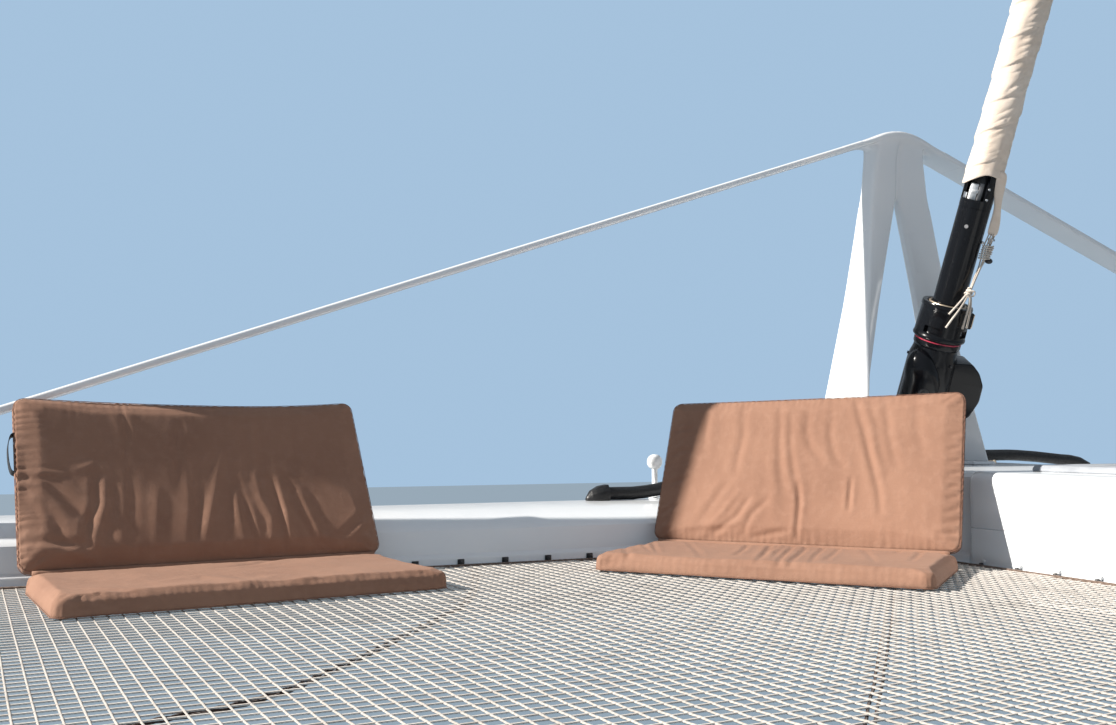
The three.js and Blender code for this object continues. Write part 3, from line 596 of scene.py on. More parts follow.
netSkew = 4.0  # degrees that the net's cords stand off the boat's own axes
finish = {
    "gelcoat": gelcoatMaterial(),
    "deckGrip": deckGripMaterial(),
    "steel": steelMaterial(),
    "blackPaint": blackPaintMaterial(),
    "redSeal": sealMaterial(),
    "foilAlloy": alloyMaterial(),
    "sailcloth": clothMaterial("sailcloth", 2600.0, (0.80, 0.69, 0.59), (0.70, 0.57, 0.46),
                               (0.86, 0.77, 0.69), 0.75, 0.15, (1.0, 0.9, 0.8)),
    "seatCloth": clothMaterial("seatCloth", 3400.0, (0.325, 0.180, 0.121), (0.270, 0.146, 0.098),
                               (0.36, 0.21, 0.148), 0.85, 0.08, (1.0, 0.8, 0.7)),
    "seatPiping": clothMaterial("seatPiping", 3400.0, (0.275, 0.146, 0.098), (0.22, 0.112, 0.078),
                                (0.32, 0.180, 0.124), 0.85, 0.08, (1.0, 0.8, 0.7)),
    # Each cord's second colour is painted shade for the grooves between strands, and also its dirt tone
    "hemRope": cordMaterial("hemRope", (0.16, 0.11, 0.085), (0.07, 0.045, 0.03), 0.02, 1.0, 0.0014, "UV",
                            (0, 0, rad(90))),
    "tieLine": cordMaterial("tieLine", (0.055, 0.026, 0.018), (0.02, 0.01, 0.008), 0.009, 1.2, 0.0007, "UV",
                            (0, 0, rad(90))),
    "whiteLine": cordMaterial("whiteLine", (0.66, 0.60, 0.53), (0.36, 0.30, 0.25), 0.007, 1.2, 0.0005, "UV",
                              (0, 0, rad(90))),
    "warmAlloy": warmAlloyMaterial(),
    "greyPlastic": plasticMaterial("greyPlastic", (0.22, 0.22, 0.23), 0.5),
    "blackRubber": rubberMaterial(),
    "whitePlastic": plasticMaterial("whitePlastic", (0.80, 0.81, 0.82), 0.3),
    "blackPlastic": plasticMaterial("blackPlastic", (0.02, 0.02, 0.022), 0.4),
}
# Painted light: the sunlit warp gets a darker colour and the grazed weft a lighter one, to even out how the sun
# falls
netCords = [
    # family, clean, groove shade and dirt, strand pitch, strand depth, direction
    ("Warp", (0.50, 0.46, 0.42), (0.28, 0.25, 0.22), 0.0106, 0.0005, -90.0),
    ("Weft", (0.80, 0.74, 0.67), (0.42, 0.36, 0.31), 0.008, 0.0004, 0.0),
]
for family, clean, grooveShadeAndDirtTone, pitch, depth, direction in netCords:
    for title, skew in (("Port", -netSkew), ("Starboard", netSkew)):
        cord = "net" + family + title
        finish[cord] = cordMaterial(cord, clean, grooveShadeAndDirtTone, pitch, 1.3, depth,
                                    rotation=(0, 0, rad(direction + skew)))
print("materials made")

# Beam and walkway: one white moulding with a swept corner on each side

beam = {
    "halfLength": 3.76, "aft": 3.60, "front": 4.20, "bottom": -0.165, "lipTop": 0.024,
    "edgeTop": 0.116, "crown": 0.160, "pedestalTop": 0.285, "rampOuter": 0.98, "rampInner": 0.56,
    "cornerRadius": 0.94, "cornerEnd": 68.3, "cornerTuck": 0.013, "cornerSteps": 26,
    "straightStep": 0.16,
}
walkway = {
    "halfWidth": 0.43, "bottom": -0.09, "seam": 0.112, "top": 0.285, "edgeRadius": 0.036,
    "endRadius": 0.040, "aft": 0.0163, "seamWidth": 0.003, "steps": 7,
}
cornerX = beam["cornerTuck"] - walkway["halfWidth"] - beam["cornerRadius"] * math.sin(rad(beam["cornerEnd"]))
cornerY = beam["aft"] - beam["cornerRadius"]


def beamTopAt(x):
    lift = ease((beam["rampOuter"] - abs(x)) / (beam["rampOuter"] - beam["rampInner"]))
    edge = beam["edgeTop"] + (beam["pedestalTop"] - 0.006 - beam["edgeTop"]) * lift
    crown = beam["crown"] + (beam["pedestalTop"] - beam["crown"]) * lift
    return edge, crown


# Offsets from the beam's aft edge, then places counted from its front
def beamRing(x, aftPoint, outward):
    edge, crown = beamTopAt(x)
    rise = crown - edge
    nearAft = [
        (0.040, beam["bottom"]), (0.004, -0.060), (0.0, -0.020), (0.0, beam["lipTop"] - 0.006),
        (0.003, beam["lipTop"]), (0.010, beam["lipTop"] + 0.004), (0.018, beam["lipTop"] + 0.010),
        (0.022, beam["lipTop"] + 0.030), (0.026, edge - 0.030), (0.031, edge - 0.012),
        (0.045, edge), (0.090, edge + rise * 0.3),
    ]
    nearFront = [
        (0.420, edge + rise * 0.85), (0.300, crown), (0.150, crown), (0.070, crown - 0.014),
        (0.020, crown - 0.052), (0.0, crown - 0.110), (0.010, -0.060), (0.060, beam["bottom"] + 0.020),
        (0.120, beam["bottom"]),
    ]
    ring = [Vector((aftPoint[0] + outward[0] * d, aftPoint[1] + outward[1] * d, z)) for d, z in nearAft]
    return ring + [Vector((x, beam["front"] - d, z)) for d, z in nearFront]


def makeBeam():
    stations = []
    straight = beam["halfLength"] + cornerX
    count = round(straight / beam["straightStep"])
    for i in range(count):
        x = -beam["halfLength"] + straight * i / count
        stations.append((x, (x, beam["aft"]), (0, 1)))
    for i in range(beam["cornerSteps"] + 1):
        angle = rad(beam["cornerEnd"] * i / beam["cornerSteps"])
        out = (math.sin(angle), math.cos(angle))
        point = (cornerX + beam["cornerRadius"] * out[0], cornerY + beam["cornerRadius"] * out[1])
        stations.append((point[0], point, out))
    stations += [(-x, (-p[0], p[1]), (-o[0], o[1])) for x, p, o in reversed(stations)]
    bm = bmesh.new()
    loft(bm, [beamRing(*station) for station in stations])
    dress(toObject(bm, "beam_moulding", finish["gelcoat"], 28), "foredeck", "gelcoat", "crossbeam")


def walkwayRing(y, inset, bottom, top, edgeRadius, footCut):
    half = walkway["halfWidth"] - inset
    side = [(half - footCut, bottom), (half, bottom + footCut)]
    for i in range(walkway["steps"] + 1):
        angle = rad(90 * i / walkway["steps"])
        side.append((half - edgeRadius * (1 - math.cos(angle)), top - edgeRadius * (1 - math.sin(angle))))
    return [Vector((x, y, z)) for x, z in side + [(-x, z) for x, z in reversed(side)]]


def makeWalkway():
    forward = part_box("longeron_upper")[1].y
    stations = [(walkway["aft"], 0.0)]
    for i in range(walkway["steps"] + 1):
        angle = rad(90 * i / walkway["steps"])
        inset = walkway["endRadius"] * (1 - math.cos(angle))
        stations.append((forward - walkway["endRadius"] * (1 - math.sin(angle)), inset))
    groove = walkway["seamWidth"]
    halves = [
        ("walkway_lower", walkway["bottom"], walkway["seam"], groove, 0.0, "longeron_lower"),
        ("walkway_upper", walkway["seam"] + 0.0003, walkway["top"], walkway["edgeRadius"], groove,
         "longeron_upper"),
    ]
    for name, bottom, top, edgeRadius, footCut, node in halves:
        bm = bmesh.new()
        loft(bm, [walkwayRing(y, inset, bottom, top, edgeRadius, footCut) for y, inset in stations])
        dress(toObject(bm, name, finish["gelcoat"], 25), "foredeck", "gelcoat", node)


makeBeam()
makeWalkway()
print("beam and walkway made")

# Striker: two bladed legs that flow up into one head, and a flat strap down to each end of the beam

striker = {
    "y": 3.80, "strapWidth": 0.130, "strapThickness": 0.024, "strapInner": 0.1504, "strapInnerZ": 1.538,
    "strapOuter": 3.66, "strapSlope": 0.357, "strapRound": 0.008, "top": 1.604,
    "headFrom": 1.20, "headReach": 0.30, "sleeve": 0.0007, "voxel": 0.0045, "melts": 14,
    "webFrom": 0.10, "webTo": 0.185, "webDrop": 0.030, "webHalf": 0.030,
}
legRows = [
    # height, outer x, inner x, outer depth, inner depth
    (0.2973, 0.305, 0.225, 0.330, 0.070),
    (0.550, 0.257, 0.170, 0.260, 0.060),
    (0.930, 0.200, 0.095, 0.155, 0.050),
    (1.354, 0.140, 0.000, 0.084, 0.050),
    (1.500, 0.122, 0.000, 0.086, 0.058),
    (1.548, 0.114, 0.000, 0.104, 0.086),
    (1.580, 0.100, 0.000, 0.122, 0.118),
]
saddleRows = [
    # x, top, thickness
    (-0.165, 1.5570, 0.024), (-0.120, 1.5770, 0.026), (-0.080, 1.5920, 0.030), (-0.040, 1.6010, 0.034),
    (0.0, 1.6040, 0.036),
    (0.040, 1.6010, 0.034), (0.080, 1.5920, 0.030), (0.120, 1.5770, 0.026), (0.165, 1.5570, 0.024),
]


def legAt(z):
    rows = legRows
    i = max(0, min(len(rows) - 2, sum(row[0] <= z for row in rows) - 1))
    t = (z - rows[i][0]) / (rows[i + 1][0] - rows[i][0])
    return [a + (b - a) * t for a, b in zip(rows[i][1:], rows[i + 1][1:])]


def legRing(side, z, grow=0.0):
    outer, inner, outerDepth, innerDepth = legAt(z)
    outer, inner = outer + grow, inner - grow
    outerDepth, innerDepth = outerDepth + 2 * grow, innerDepth + 2 * grow
    cut = 0.10 * (outer - inner)
    half = [(outer, outerDepth / 2 - cut), (outer - 0.4 * cut, outerDepth / 2 - 0.2 * cut),
            (outer - cut, outerDepth / 2), (inner + cut, innerDepth / 2), (inner, innerDepth / 2 - cut)]
    corners = half + [(x, -y) for x, y in reversed(half)]
    return [Vector((side * x, striker["y"] + y, z)) for x, y in corners]


# A flat bar's section with round edges, as offsets across and up
def barSection(width, thickness, grow=0.0):
    r = striker["strapRound"]
    half, depth = width / 2 + grow, thickness + 2 * grow
    section = []
    for cx, cz, start in ((half - r, depth - r, 0), (-half + r, depth - r, 90), (-half + r, r, 180),
                          (half - r, r, 270)):
        for i in range(4):
            angle = rad(start + 30 * i)
            section.append((cx + r * math.cos(angle), cz + r * math.sin(angle) - grow))
    return section


def strapRing(side, x, grow=0.0):
    z = striker["strapInnerZ"] - striker["strapSlope"] * (x - striker["strapInner"])
    return [Vector((side * x, striker["y"] + a, z + b))
            for a, b in barSection(striker["strapWidth"], striker["strapThickness"], grow)]


def makeStriker():
    for side, name in ((-1, "port"), (1, "starboard")):
        bm = bmesh.new()
        low, high = legRows[0][0], striker["headFrom"] + 0.05
        steps = 14
        loft(bm, [legRing(side, low + (high - low) * i / steps) for i in range(steps + 1)])
        leg = bevelled(toObject(bm, "leg_blade_" + name, finish["gelcoat"]), 0.004, 3, 22)
        dress(leg, "foredeck", "gelcoat", "striker_leg_" + name)
        bm = bmesh.new()
        inner, outer = striker["headReach"] - 0.03, striker["strapOuter"]
        loft(bm, [strapRing(side, inner + (outer - inner) * i / 6) for i in range(7)])
        strap = toObject(bm, "flat_strap_" + name, finish["gelcoat"], 40)
        dress(strap, "foredeck", "gelcoat", "striker_strap_" + name)
        finerCopy("striker_foot_" + name, "gelcoat", finish["gelcoat"], 0.004)
        finerCopy("strap_bracket_" + name, "gelcoat", finish["gelcoat"], 0.008)


# The head is melted into one smooth form from the ends of what meets there
def makeStrikerHead():
    bm = bmesh.new()
    grow, y = striker["sleeve"], striker["y"]
    for side in (-1, 1):
        heights = [striker["headFrom"] + (legRows[-1][0] - striker["headFrom"]) * i / 20 for i in range(21)]
        loft(bm, [legRing(side, z, grow) for z in heights])
        reach = [0.10 + (striker["headReach"] - 0.10) * i / 6 for i in range(7)]
        loft(bm, [strapRing(side, x, grow) for x in reach])
        web = []
        for i in range(6):
            x = striker["webFrom"] + (striker["webTo"] - striker["webFrom"]) * i / 5
            z = striker["strapInnerZ"] - striker["strapSlope"] * (x - striker["strapInner"]) + 0.008
            drop = 0.010 + striker["webDrop"] * (1 - i / 5) ** 1.5
            half = striker["webHalf"] * (1 - 0.3 * i / 5)
            web.append([Vector((side * x, y + a, h)) for a, h in
                        ((-half, z - drop), (half, z - drop), (half, z), (-half, z))])
        loft(bm, web)
    loft(bm, [[Vector((x, y + a, top - thickness + b)) for a, b in barSection(0.128, thickness)]
              for x, top, thickness in saddleRows])
    head = toObject(bm, "striker_head", finish["gelcoat"])
    melt = head.modifiers.new("Melt", "REMESH")
    melt.mode, melt.voxel_size = "VOXEL", striker["voxel"]
    head.data = bpy.data.meshes.new_from_object(head.evaluated_get(bpy.context.evaluated_depsgraph_get()))
    head.modifiers.clear()
    bm = bmesh.new()
    bm.from_mesh(head.data)
    middle = [v for v in bm.verts if abs(v.co.x) < striker["webTo"] + 0.02 and v.co.z > 1.30]
    for everywhere in (True, True, *[False] * striker["melts"]):
        bmesh.ops.smooth_vert(bm, verts=bm.verts if everywhere else middle, factor=0.5, use_axis_x=True,
                              use_axis_y=True, use_axis_z=True)
    bm.to_mesh(head.data)
    bm.free()
    markSmooth(head.data)
    dress(head, "foredeck", "gelcoat", "striker_apex")


makeStriker()
makeStrikerHead()
print("striker made")

# Forestay and furler, made along +Z and then leaned onto the stay's axis

stayJoint = joints["furler_turn"]
stayPlace = (Matrix.Translation(stayJoint["pos_m"])
             @ Vector((0, 0, 1)).rotation_difference(Vector(stayJoint["axis"])).to_matrix().to_4x4())


def leaned(bm, name, material, body, slotName, nodes=(), edge=None, sharpAngle=None):
    bm.transform(stayPlace)
    obj = toObject(bm, name, finish[material], sharpAngle)
    if edge:
        bevelled(obj, edge)
    return dress(obj, body, slotName, *nodes)


furler = {
    "turn": -24.0,  # degrees about the stay, from starboard round to the motor's side
    "housing": 0.092, "housingFrom": -0.120, "housingTo": 0.2217,
    "seal": 0.0835, "sealBead": 0.0866, "sealFrom": 0.2220, "sealTo": 0.2337,
    "beadFrom": 0.2252, "beadTo": 0.2300,
    "collar": 0.094, "collarTo": 0.3700, "wireBore": 0.0087,
    "pocketFrom": 0.2580, "pocketTo": 0.2870, "pocketDepth": 0.013, "pocketWidth": 44.0,
    "pockets": (-130.0, -40.0, 50.0, 140.0),
    "cover": 0.069, "coverPlace": (-0.034, -0.050), "coverFrom": -0.100, "coverShoulder": 0.076,
    "coverDome": 0.116, "coverShift": -0.030,
    "motorHalf": 0.060, "motorRound": 0.010, "motorBevel": 0.008, "motorBend": 0.088, "motorTilt": 0.20,
    "tube": 0.0565, "tubeBore": 0.046, "tubeFrom": 0.3704, "windowFrom": 0.7655, "tubeTo": 0.896,
    "windowStart": -82.0, "windowEnd": 175.0, "sleeveFrom": 0.735, "foilFrom": 0.905,
}
# The motor's outline from its flat side: distance from the stay, height
motorOutline = [(0.050, 0.156), (0.134, 0.166), (0.170, 0.134), (0.196, 0.088), (0.204, 0.020),
                (0.188, -0.050), (0.146, -0.084), (0.050, -0.084)]


# Turns a bmesh made with the camera on its -Y side to the furler's own side
def faced(bm):
    bm.transform(Matrix.Rotation(rad(furler["turn"]), 4, "Z"))
    return bm


def block(bm, low, high, round=0.002):
    made = bmesh.ops.create_cube(bm, size=1.0)["verts"]
    size = [b - a for a, b in zip(low, high)]
    bmesh.ops.scale(bm, vec=size, verts=made)
    bmesh.ops.translate(bm, vec=[(a + b) / 2 for a, b in zip(low, high)], verts=made)
    edges = list({e for v in made for e in v.link_edges})
    bmesh.ops.bevel(bm, geom=edges, offset=round, segments=2, profile=0.5, affect="EDGES", material=-1)


# A bolt head or plug: a short round or six-sided stud from a point along a direction
def stud(bm, point, outward, radius, height, sides=6):
    made = bmesh.ops.create_cone(bm, cap_ends=True, segments=sides, radius1=radius, radius2=radius * 0.88,
                                 depth=height)["verts"]
    turn = Vector((0, 0, 1)).rotation_difference(Vector(outward)).to_matrix().to_4x4()
    move = Matrix.Translation(Vector(point) + Vector(outward).normalized() * height / 2) @ turn
    bmesh.ops.transform(bm, matrix=move, verts=made)


def makeHousing():
    f = furler
    h, low, high = f["housing"], f["housingFrom"], f["housingTo"]
    body = turned([
        (0, low), (h - 0.034, low), (h - 0.016, low + 0.012), (h - 0.006, low + 0.040), (h, low + 0.075),
        (h, high - 0.085), (h - 0.003, high - 0.058), (h - 0.009, high - 0.036), (h - 0.0105, high - 0.022),
        (h - 0.007, high - 0.017), (h - 0.0055, high - 0.012), (h - 0.0055, f["beadFrom"] - 0.0012),
        (h - 0.0064, f["beadFrom"] - 0.0004), (h - 0.0080, f["beadFrom"] - 0.0004), (h - 0.0080, high),
        (0, high),
    ], 72)
    leaned(body, "gearbox", "blackPaint", "foredeck", "black_paint", ["furler_housing"], None, 40)

    # The domed cover leans towards the stay as it rises
    r, shoulder = f["cover"], f["coverShoulder"]
    steps = 9
    profile = [(0, f["coverFrom"]), (r - 0.014, f["coverFrom"]), (r - 0.004, f["coverFrom"] + 0.006),
               (r, f["coverFrom"] + 0.018), (r, shoulder - 0.03)]
    profile += [(r * math.cos(rad(90 * i / steps)), shoulder + f["coverDome"] * math.sin(rad(90 * i / steps)))
                for i in range(steps + 1)]
    dome = turned(profile, 48)
    for vert in dome.verts:
        above = max(0.0, vert.co.z - shoulder) / f["coverDome"]
        vert.co.x += f["coverShift"] * above
    bmesh.ops.translate(dome, vec=(*f["coverPlace"], 0), verts=dome.verts)
    leaned(faced(dome), "gearbox_cover", "blackPaint", "foredeck", "black_paint")

    plug = bmesh.new()
    stud(plug, (-0.040, -0.1160, 0.040), (0, -1, 0), 0.021, 0.006, 24)
    stud(plug, (-0.040, -0.1215, 0.040), (0, -1, 0), 0.011, 0.004, 6)
    for angle, z in ((-172, -0.010), (-172, 0.018), (-60, 0.150), (20, 0.196), (100, 0.150), (160, 0.150)):
        out = (math.cos(rad(angle)), math.sin(rad(angle)), 0)
        stud(plug, (0.0885 * out[0], 0.0885 * out[1], z), out, 0.0065, 0.007)
    leaned(faced(plug), "gearbox_plugs", "blackPlastic", "foredeck", "black_paint", (), None, 30)


def makeMotor():
    f = furler
    bm = bmesh.new()
    face = bm.faces.new([bm.verts.new((x, -f["motorHalf"], z)) for x, z in motorOutline])
    made = bmesh.ops.extrude_face_region(bm, geom=[face])["geom"]
    back = [item for item in made if isinstance(item, bmesh.types.BMVert)]
    bmesh.ops.translate(bm, vec=(0, 2 * f["motorHalf"], 0), verts=back)
    bmesh.ops.recalc_face_normals(bm, faces=bm.faces)
    long = [e for e in bm.edges if abs(e.verts[0].co.y - e.verts[1].co.y) > f["motorHalf"]]
    bmesh.ops.bevel(bm, geom=long, offset=f["motorRound"], segments=3, profile=0.5, affect="EDGES", material=-1)
    bmesh.ops.bisect_plane(bm, geom=bm.verts[:] + bm.edges[:] + bm.faces[:],
                           plane_co=(0, 0, f["motorBend"]), plane_no=(0, 0, 1))
    for vert in bm.verts:
        if vert.co.z < f["motorBend"] and vert.co.y < 0:
            vert.co.y += f["motorTilt"] * (f["motorBend"] - vert.co.z)
    rims = [e for e in bm.edges if e.calc_face_angle(0) > rad(50)]
    bmesh.ops.bevel(bm, geom=rims, offset=f["motorBevel"], segments=3, profile=0.5, affect="EDGES", material=-1)
    leaned(faced(bm), "motor_pod", "blackPaint", "foredeck", "black_paint", ["furler_motor"], None, 25)


def makeCollar():
    f = furler
    c, low, high = f["collar"], f["sealTo"] + 0.0005, f["collarTo"]
    cup = turned([
        (f["wireBore"], low), (c - 0.0095, low), (c - 0.0095, f["beadTo"] + 0.0005),
        (c - 0.0060, f["beadTo"] + 0.0005), (c + 0.0010, low + 0.002), (c + 0.0020, low + 0.006),
        (c + 0.0020, low + 0.011), (c, low + 0.014), (c - 0.0006, f["pocketFrom"]),
        (c - 0.0014, f["pocketTo"]), (c - 0.0024, high - 0.050), (c - 0.0034, high - 0.020),
        (c - 0.0012, high - 0.016), (c - 0.0010, high - 0.005), (c - 0.0030, high),
        (c - 0.0160, high), (c - 0.0200, high - 0.004), (c - 0.0210, high - 0.013),
        (c - 0.0332, high - 0.013), (c - 0.0340, high), (0.0150, high),
        (f["wireBore"], high), (f["wireBore"], low),
    ], 72)
    for middle in f["pockets"]:
        around = Vector((math.cos(rad(middle)), math.sin(rad(middle)), 0))
        chosen = []
        for face in cup.faces:
            spot = face.calc_center_median()
            flat = Vector((spot.x, spot.y, 0))
            inBand = f["pocketFrom"] < spot.z < f["pocketTo"] and flat.length > c - 0.006
            if inBand and flat.angle(around) < rad(f["pocketWidth"] / 2):
                chosen.append(face)
        bmesh.ops.inset_region(cup, faces=chosen, thickness=0.0016, depth=0.0, use_even_offset=True)
        bmesh.ops.inset_region(cup, faces=chosen, thickness=0.0012, depth=-f["pocketDepth"],
                               use_even_offset=True)
    leaned(faced(cup), "collar_cup", "blackPaint", "furler_rotor", "black_paint", ["furler_collar"], None, 35)

    ring = turned([(0.0612, high - 0.012), (0.0688, high - 0.012), (0.0684, high - 0.001),
                   (0.0655, high + 0.0022), (0.0620, high + 0.0004), (0.0612, high - 0.012)], 48)
    leaned(ring, "collar_bush", "warmAlloy", "furler_rotor", "foil_alloy")
    lug = bmesh.new()
    block(lug, (0.074, -0.016, 0.286), (0.1045, 0.014, 0.348), 0.004)
    stud(lug, (0.090, -0.016, 0.334), (0, -1, 0), 0.005, 0.004)
    stud(lug, (0.090, -0.016, 0.300), (0, -1, 0), 0.005, 0.004)
    leaned(faced(lug), "tack_lug", "blackPaint", "furler_rotor", "black_paint", (), None, 30)
    strip = bmesh.new()
    block(strip, (0.1035, -0.013, 0.290), (0.1080, 0.011, 0.344), 0.0015)
    leaned(faced(strip), "tack_lug_plate", "warmAlloy", "furler_rotor", "foil_alloy", (), None, 30)


def makeTube():
    f = furler
    r, bore, low, sill, high = f["tube"], f["tubeBore"], f["tubeFrom"], f["windowFrom"], f["tubeTo"]
    sleeve = f["sleeveFrom"]
    pipe = turned([
        (bore, low), (r + 0.0024, low), (r + 0.0024, low + 0.009), (r, low + 0.011), (r, sleeve - 0.0016),
        (r - 0.0014, sleeve - 0.0010), (r - 0.0014, sleeve + 0.0010), (r + 0.0006, sleeve + 0.0018),
        (r + 0.0006, sill - 0.0012), (r - 0.0006, sill), (bore + 0.0008, sill), (bore, sill - 0.001),
        (bore, low),
    ], 64)
    # Above the sill only the far side of the wall goes on up
    start = rad(f["windowStart"])
    corners = [(bore, sill - 0.002), (r + 0.0006, sill - 0.002), (r + 0.0006, high), (bore, high)]
    first = pipe.faces.new([pipe.verts.new((a * math.cos(start), a * math.sin(start), z)) for a, z in corners])
    bmesh.ops.spin(pipe, geom=[first, *first.verts, *first.edges], cent=(0, 0, 0), axis=(0, 0, 1),
                   angle=rad(f["windowEnd"]) - start, steps=44, use_duplicate=False)
    bmesh.ops.recalc_face_normals(pipe, faces=pipe.faces)
    leaned(faced(pipe), "drive_pipe", "blackPaint", "furler_rotor", "black_paint", ["furler_drive_tube"],
           None, 35)


# What shows in the tube's window, and the small fittings on its wall
def makeWindow():
    f = furler
    r, sill, high = f["tube"], f["windowFrom"], f["tubeTo"]
    tip = bmesh.new()
    for x, z in ((0.0135, 0.811), (0.0140, 0.773)):
        stud(tip, (x, -math.sqrt((r + 0.0006) ** 2 - x * x) + 0.0005, z), (x, -0.05, 0), 0.0048, 0.003, 12)
    leaned(faced(tip), "window_screws", "steel", "furler_rotor", "steel", (), None, 30)
    feeder = bmesh.new()
    block(feeder, (-0.0420, -0.0320, 0.752), (-0.0170, -0.0125, 0.822), 0.003)
    block(feeder, (-0.0400, -0.0350, 0.788), (-0.0150, -0.0130, 0.800), 0.002)
    leaned(faced(feeder), "luff_feeder", "whitePlastic", "furler_rotor", "white_plastic", (), None, 30)
    plate = bmesh.new()
    block(plate, (-0.0150, -0.0345, 0.750), (0.0010, -0.0290, 0.826), 0.0015)
    leaned(faced(plate), "luff_clamp", "greyPlastic", "furler_rotor", "steel", (), None, 30)
    tab = bmesh.new()
    block(tab, (-0.0540, -0.0150, 0.757), (-0.0460, 0.0020, 0.786), 0.0015)
    leaned(faced(tab), "luff_tab", "steel", "furler_rotor", "steel", (), None, 30)
    inside = turned([(f["wireBore"], sill), (0.030, sill), (0.033, sill + 0.02), (0.033, high + 0.008),
                     (f["wireBore"], high + 0.008), (f["wireBore"], sill)], 32)
    leaned(inside, "tube_core", "blackPlastic", "furler_rotor", "black_paint")
    foil = bmesh.new()
    foil.from_mesh(frame["nodes"]["luff_foil"].data)
    bmesh.ops.remove_doubles(foil, verts=foil.verts, dist=1e-5)
    foil.transform(stayPlace.inverted())
    bmesh.ops.bisect_plane(foil, geom=foil.verts[:] + foil.edges[:] + foil.faces[:],
                           plane_co=(0, 0, f["foilFrom"]), plane_no=(0, 0, 1), clear_inner=True)
    bmesh.ops.holes_fill(foil, edges=[e for e in foil.edges if e.is_boundary])
    leaned(foil, "foil_in_sail", "foilAlloy", "furler_rotor", "foil_alloy", ["luff_foil"], None, 40)
    plug = bmesh.new()
    x = -0.028
    stud(plug, (x, -math.sqrt(r * r - x * x) + 0.0008, 0.668), (x, -0.047, 0), 0.0075, 0.0022, 20)
    leaned(faced(plug), "tube_plug", "greyPlastic", "furler_rotor", "black_paint", (), None, 30)


def makeFurler():
    f = furler
    makeHousing()
    makeMotor()
    seal = turned([(0, f["sealFrom"]), (f["seal"], f["sealFrom"]), (f["seal"], f["beadFrom"]),
                   (f["sealBead"] - 0.0006, f["beadFrom"]), (f["sealBead"], f["beadFrom"] + 0.0008),
                   (f["sealBead"], f["beadTo"] - 0.0008), (f["sealBead"] - 0.0006, f["beadTo"]),
                   (f["seal"], f["beadTo"]), (f["seal"], f["sealTo"]), (0, f["sealTo"])], 72)
    leaned(seal, "seal_ring", "redSeal", "foredeck", "red_seal", ["furler_seal"], None, 35)
    makeCollar()
    makeTube()
    makeWindow()


makeFurler()
print("furler made")

# Rolled headsail

roll = {
    "from": 0.812, "to": 1.78, "headTo": 1.86, "radius": 0.0640, "topRadius": 0.0620, "headRadius": 0.042,
    "bore": 0.0175, "hollow": 0.0595, "hollowTo": 0.904, "pitch": 0.222, "starts": ((0.0, 0.0046), (0.46, 0.0034)),
    "edge": 0.014, "around": 88, "along": 300, "footRise": 0.047, "footTurn": -109.0,
    "creases": 0.0010, "lumps": 0.0026, "pleats": 0.0034,
}


# The cloth is thickest just above each wrap's lower edge
def rollRadius(angle, z):
    share = (z - roll["from"]) / (roll["to"] - roll["from"])
    base = roll["radius"] + (roll["topRadius"] - roll["radius"]) * share
    if z > roll["to"] - 0.14:
        narrowed = ease((z - roll["to"] + 0.14) / (roll["headTo"] - roll["to"] + 0.14))
        base += (roll["headRadius"] - base) * narrowed
    steps, edge = 0.0, roll["edge"]
    wander = 0.03 * noise.noise(Vector((math.cos(angle), math.sin(angle), z * 5)))
    for start, step in roll["starts"]:
        phase = (angle / (2 * math.pi) - z / roll["pitch"] + start + wander) % 1.0
        steps += step * (phase / (1 - edge) if phase < 1 - edge else (1 - phase) / edge)
    follow = z - roll["pitch"] * 1.35 * angle / (2 * math.pi)
    around = Vector((math.cos(angle), math.sin(angle), 0))
    crease = noise.noise(Vector((around.x * 1.2, around.y * 1.2, z * 34)))
    lump = noise.noise(Vector((around.x * 1.6, around.y * 1.6, z * 9 + 5)))
    patch = ease(1.6 * noise.noise(Vector((around.x * 1.1 + 7, around.y * 1.1, z * 7))) + 0.55)
    pleat = 1 - 2.4 * abs(noise.noise(Vector((around.x * 0.9 + 3, around.y * 0.9, follow * 38))))
    return (base + steps - 0.003 + roll["creases"] * crease + roll["lumps"] * lump
            - roll["pleats"] * patch * max(0.0, pleat) ** 3)


def makeSail():
    angles = [2 * math.pi * i / roll["around"] for i in range(roll["around"])]
    highest = rad(roll["footTurn"])

    def ring(radiusOf, heightOf):
        return [Vector((radiusOf(a) * math.cos(a), radiusOf(a) * math.sin(a), heightOf(a))) for a in angles]

    def foot(a):
        rise = max(0.0, math.cos(a - highest)) ** 1.15
        return roll["from"] + roll["footRise"] * rise + 0.0015 * math.sin(5 * a)

    rings = [
        ring(lambda a: roll["bore"] + 0.003, lambda a: roll["hollowTo"]),
        ring(lambda a: roll["hollow"] - 0.004, lambda a: roll["hollowTo"]),
        ring(lambda a: roll["hollow"], lambda a: roll["hollowTo"] - 0.004),
        ring(lambda a: roll["hollow"] + 0.0008, lambda a: foot(a) + 0.002),
        ring(lambda a: rollRadius(a, foot(a)) - 0.0015, lambda a: foot(a)),
    ]
    for i in range(roll["along"] + 1):
        t = i / roll["along"]

        def height(a, t=t):
            return foot(a) + 0.003 + (roll["headTo"] - 0.012 - foot(a) - 0.003) * t

        rings.append(ring(lambda a: rollRadius(a, height(a)), height))
    rings.append(ring(lambda a: rollRadius(a, roll["headTo"]) - 0.006, lambda a: roll["headTo"]))
    rings.append(ring(lambda a: roll["bore"] + 0.002, lambda a: roll["headTo"]))
    bm = bmesh.new()
    layers = loft(bm, rings)
    wrapUv(bm, layers)
    leaned(bm, "rolled_sail", "sailcloth", "furler_rotor", "sailcloth", ["furled_sail"])


makeSail()
print("sail made")

# Tack of the sail: a folded strip of its cloth, the lashing below it, its knot and the loose tails

tack = {
    "cord": 0.0026, "turns": 7, "turnPitch": 0.0078, "turnWide": 0.019, "turnDeep": 0.010,
    "turnsAt": (0.069, -0.036, 0.558), "knotAt": (0.036, -0.078, 0.436), "knotRadius": 0.0105,
    "tailDiameter": 0.0074, "ball": 0.0125, "ballAt": (0.090, -0.036, 0.556),
}
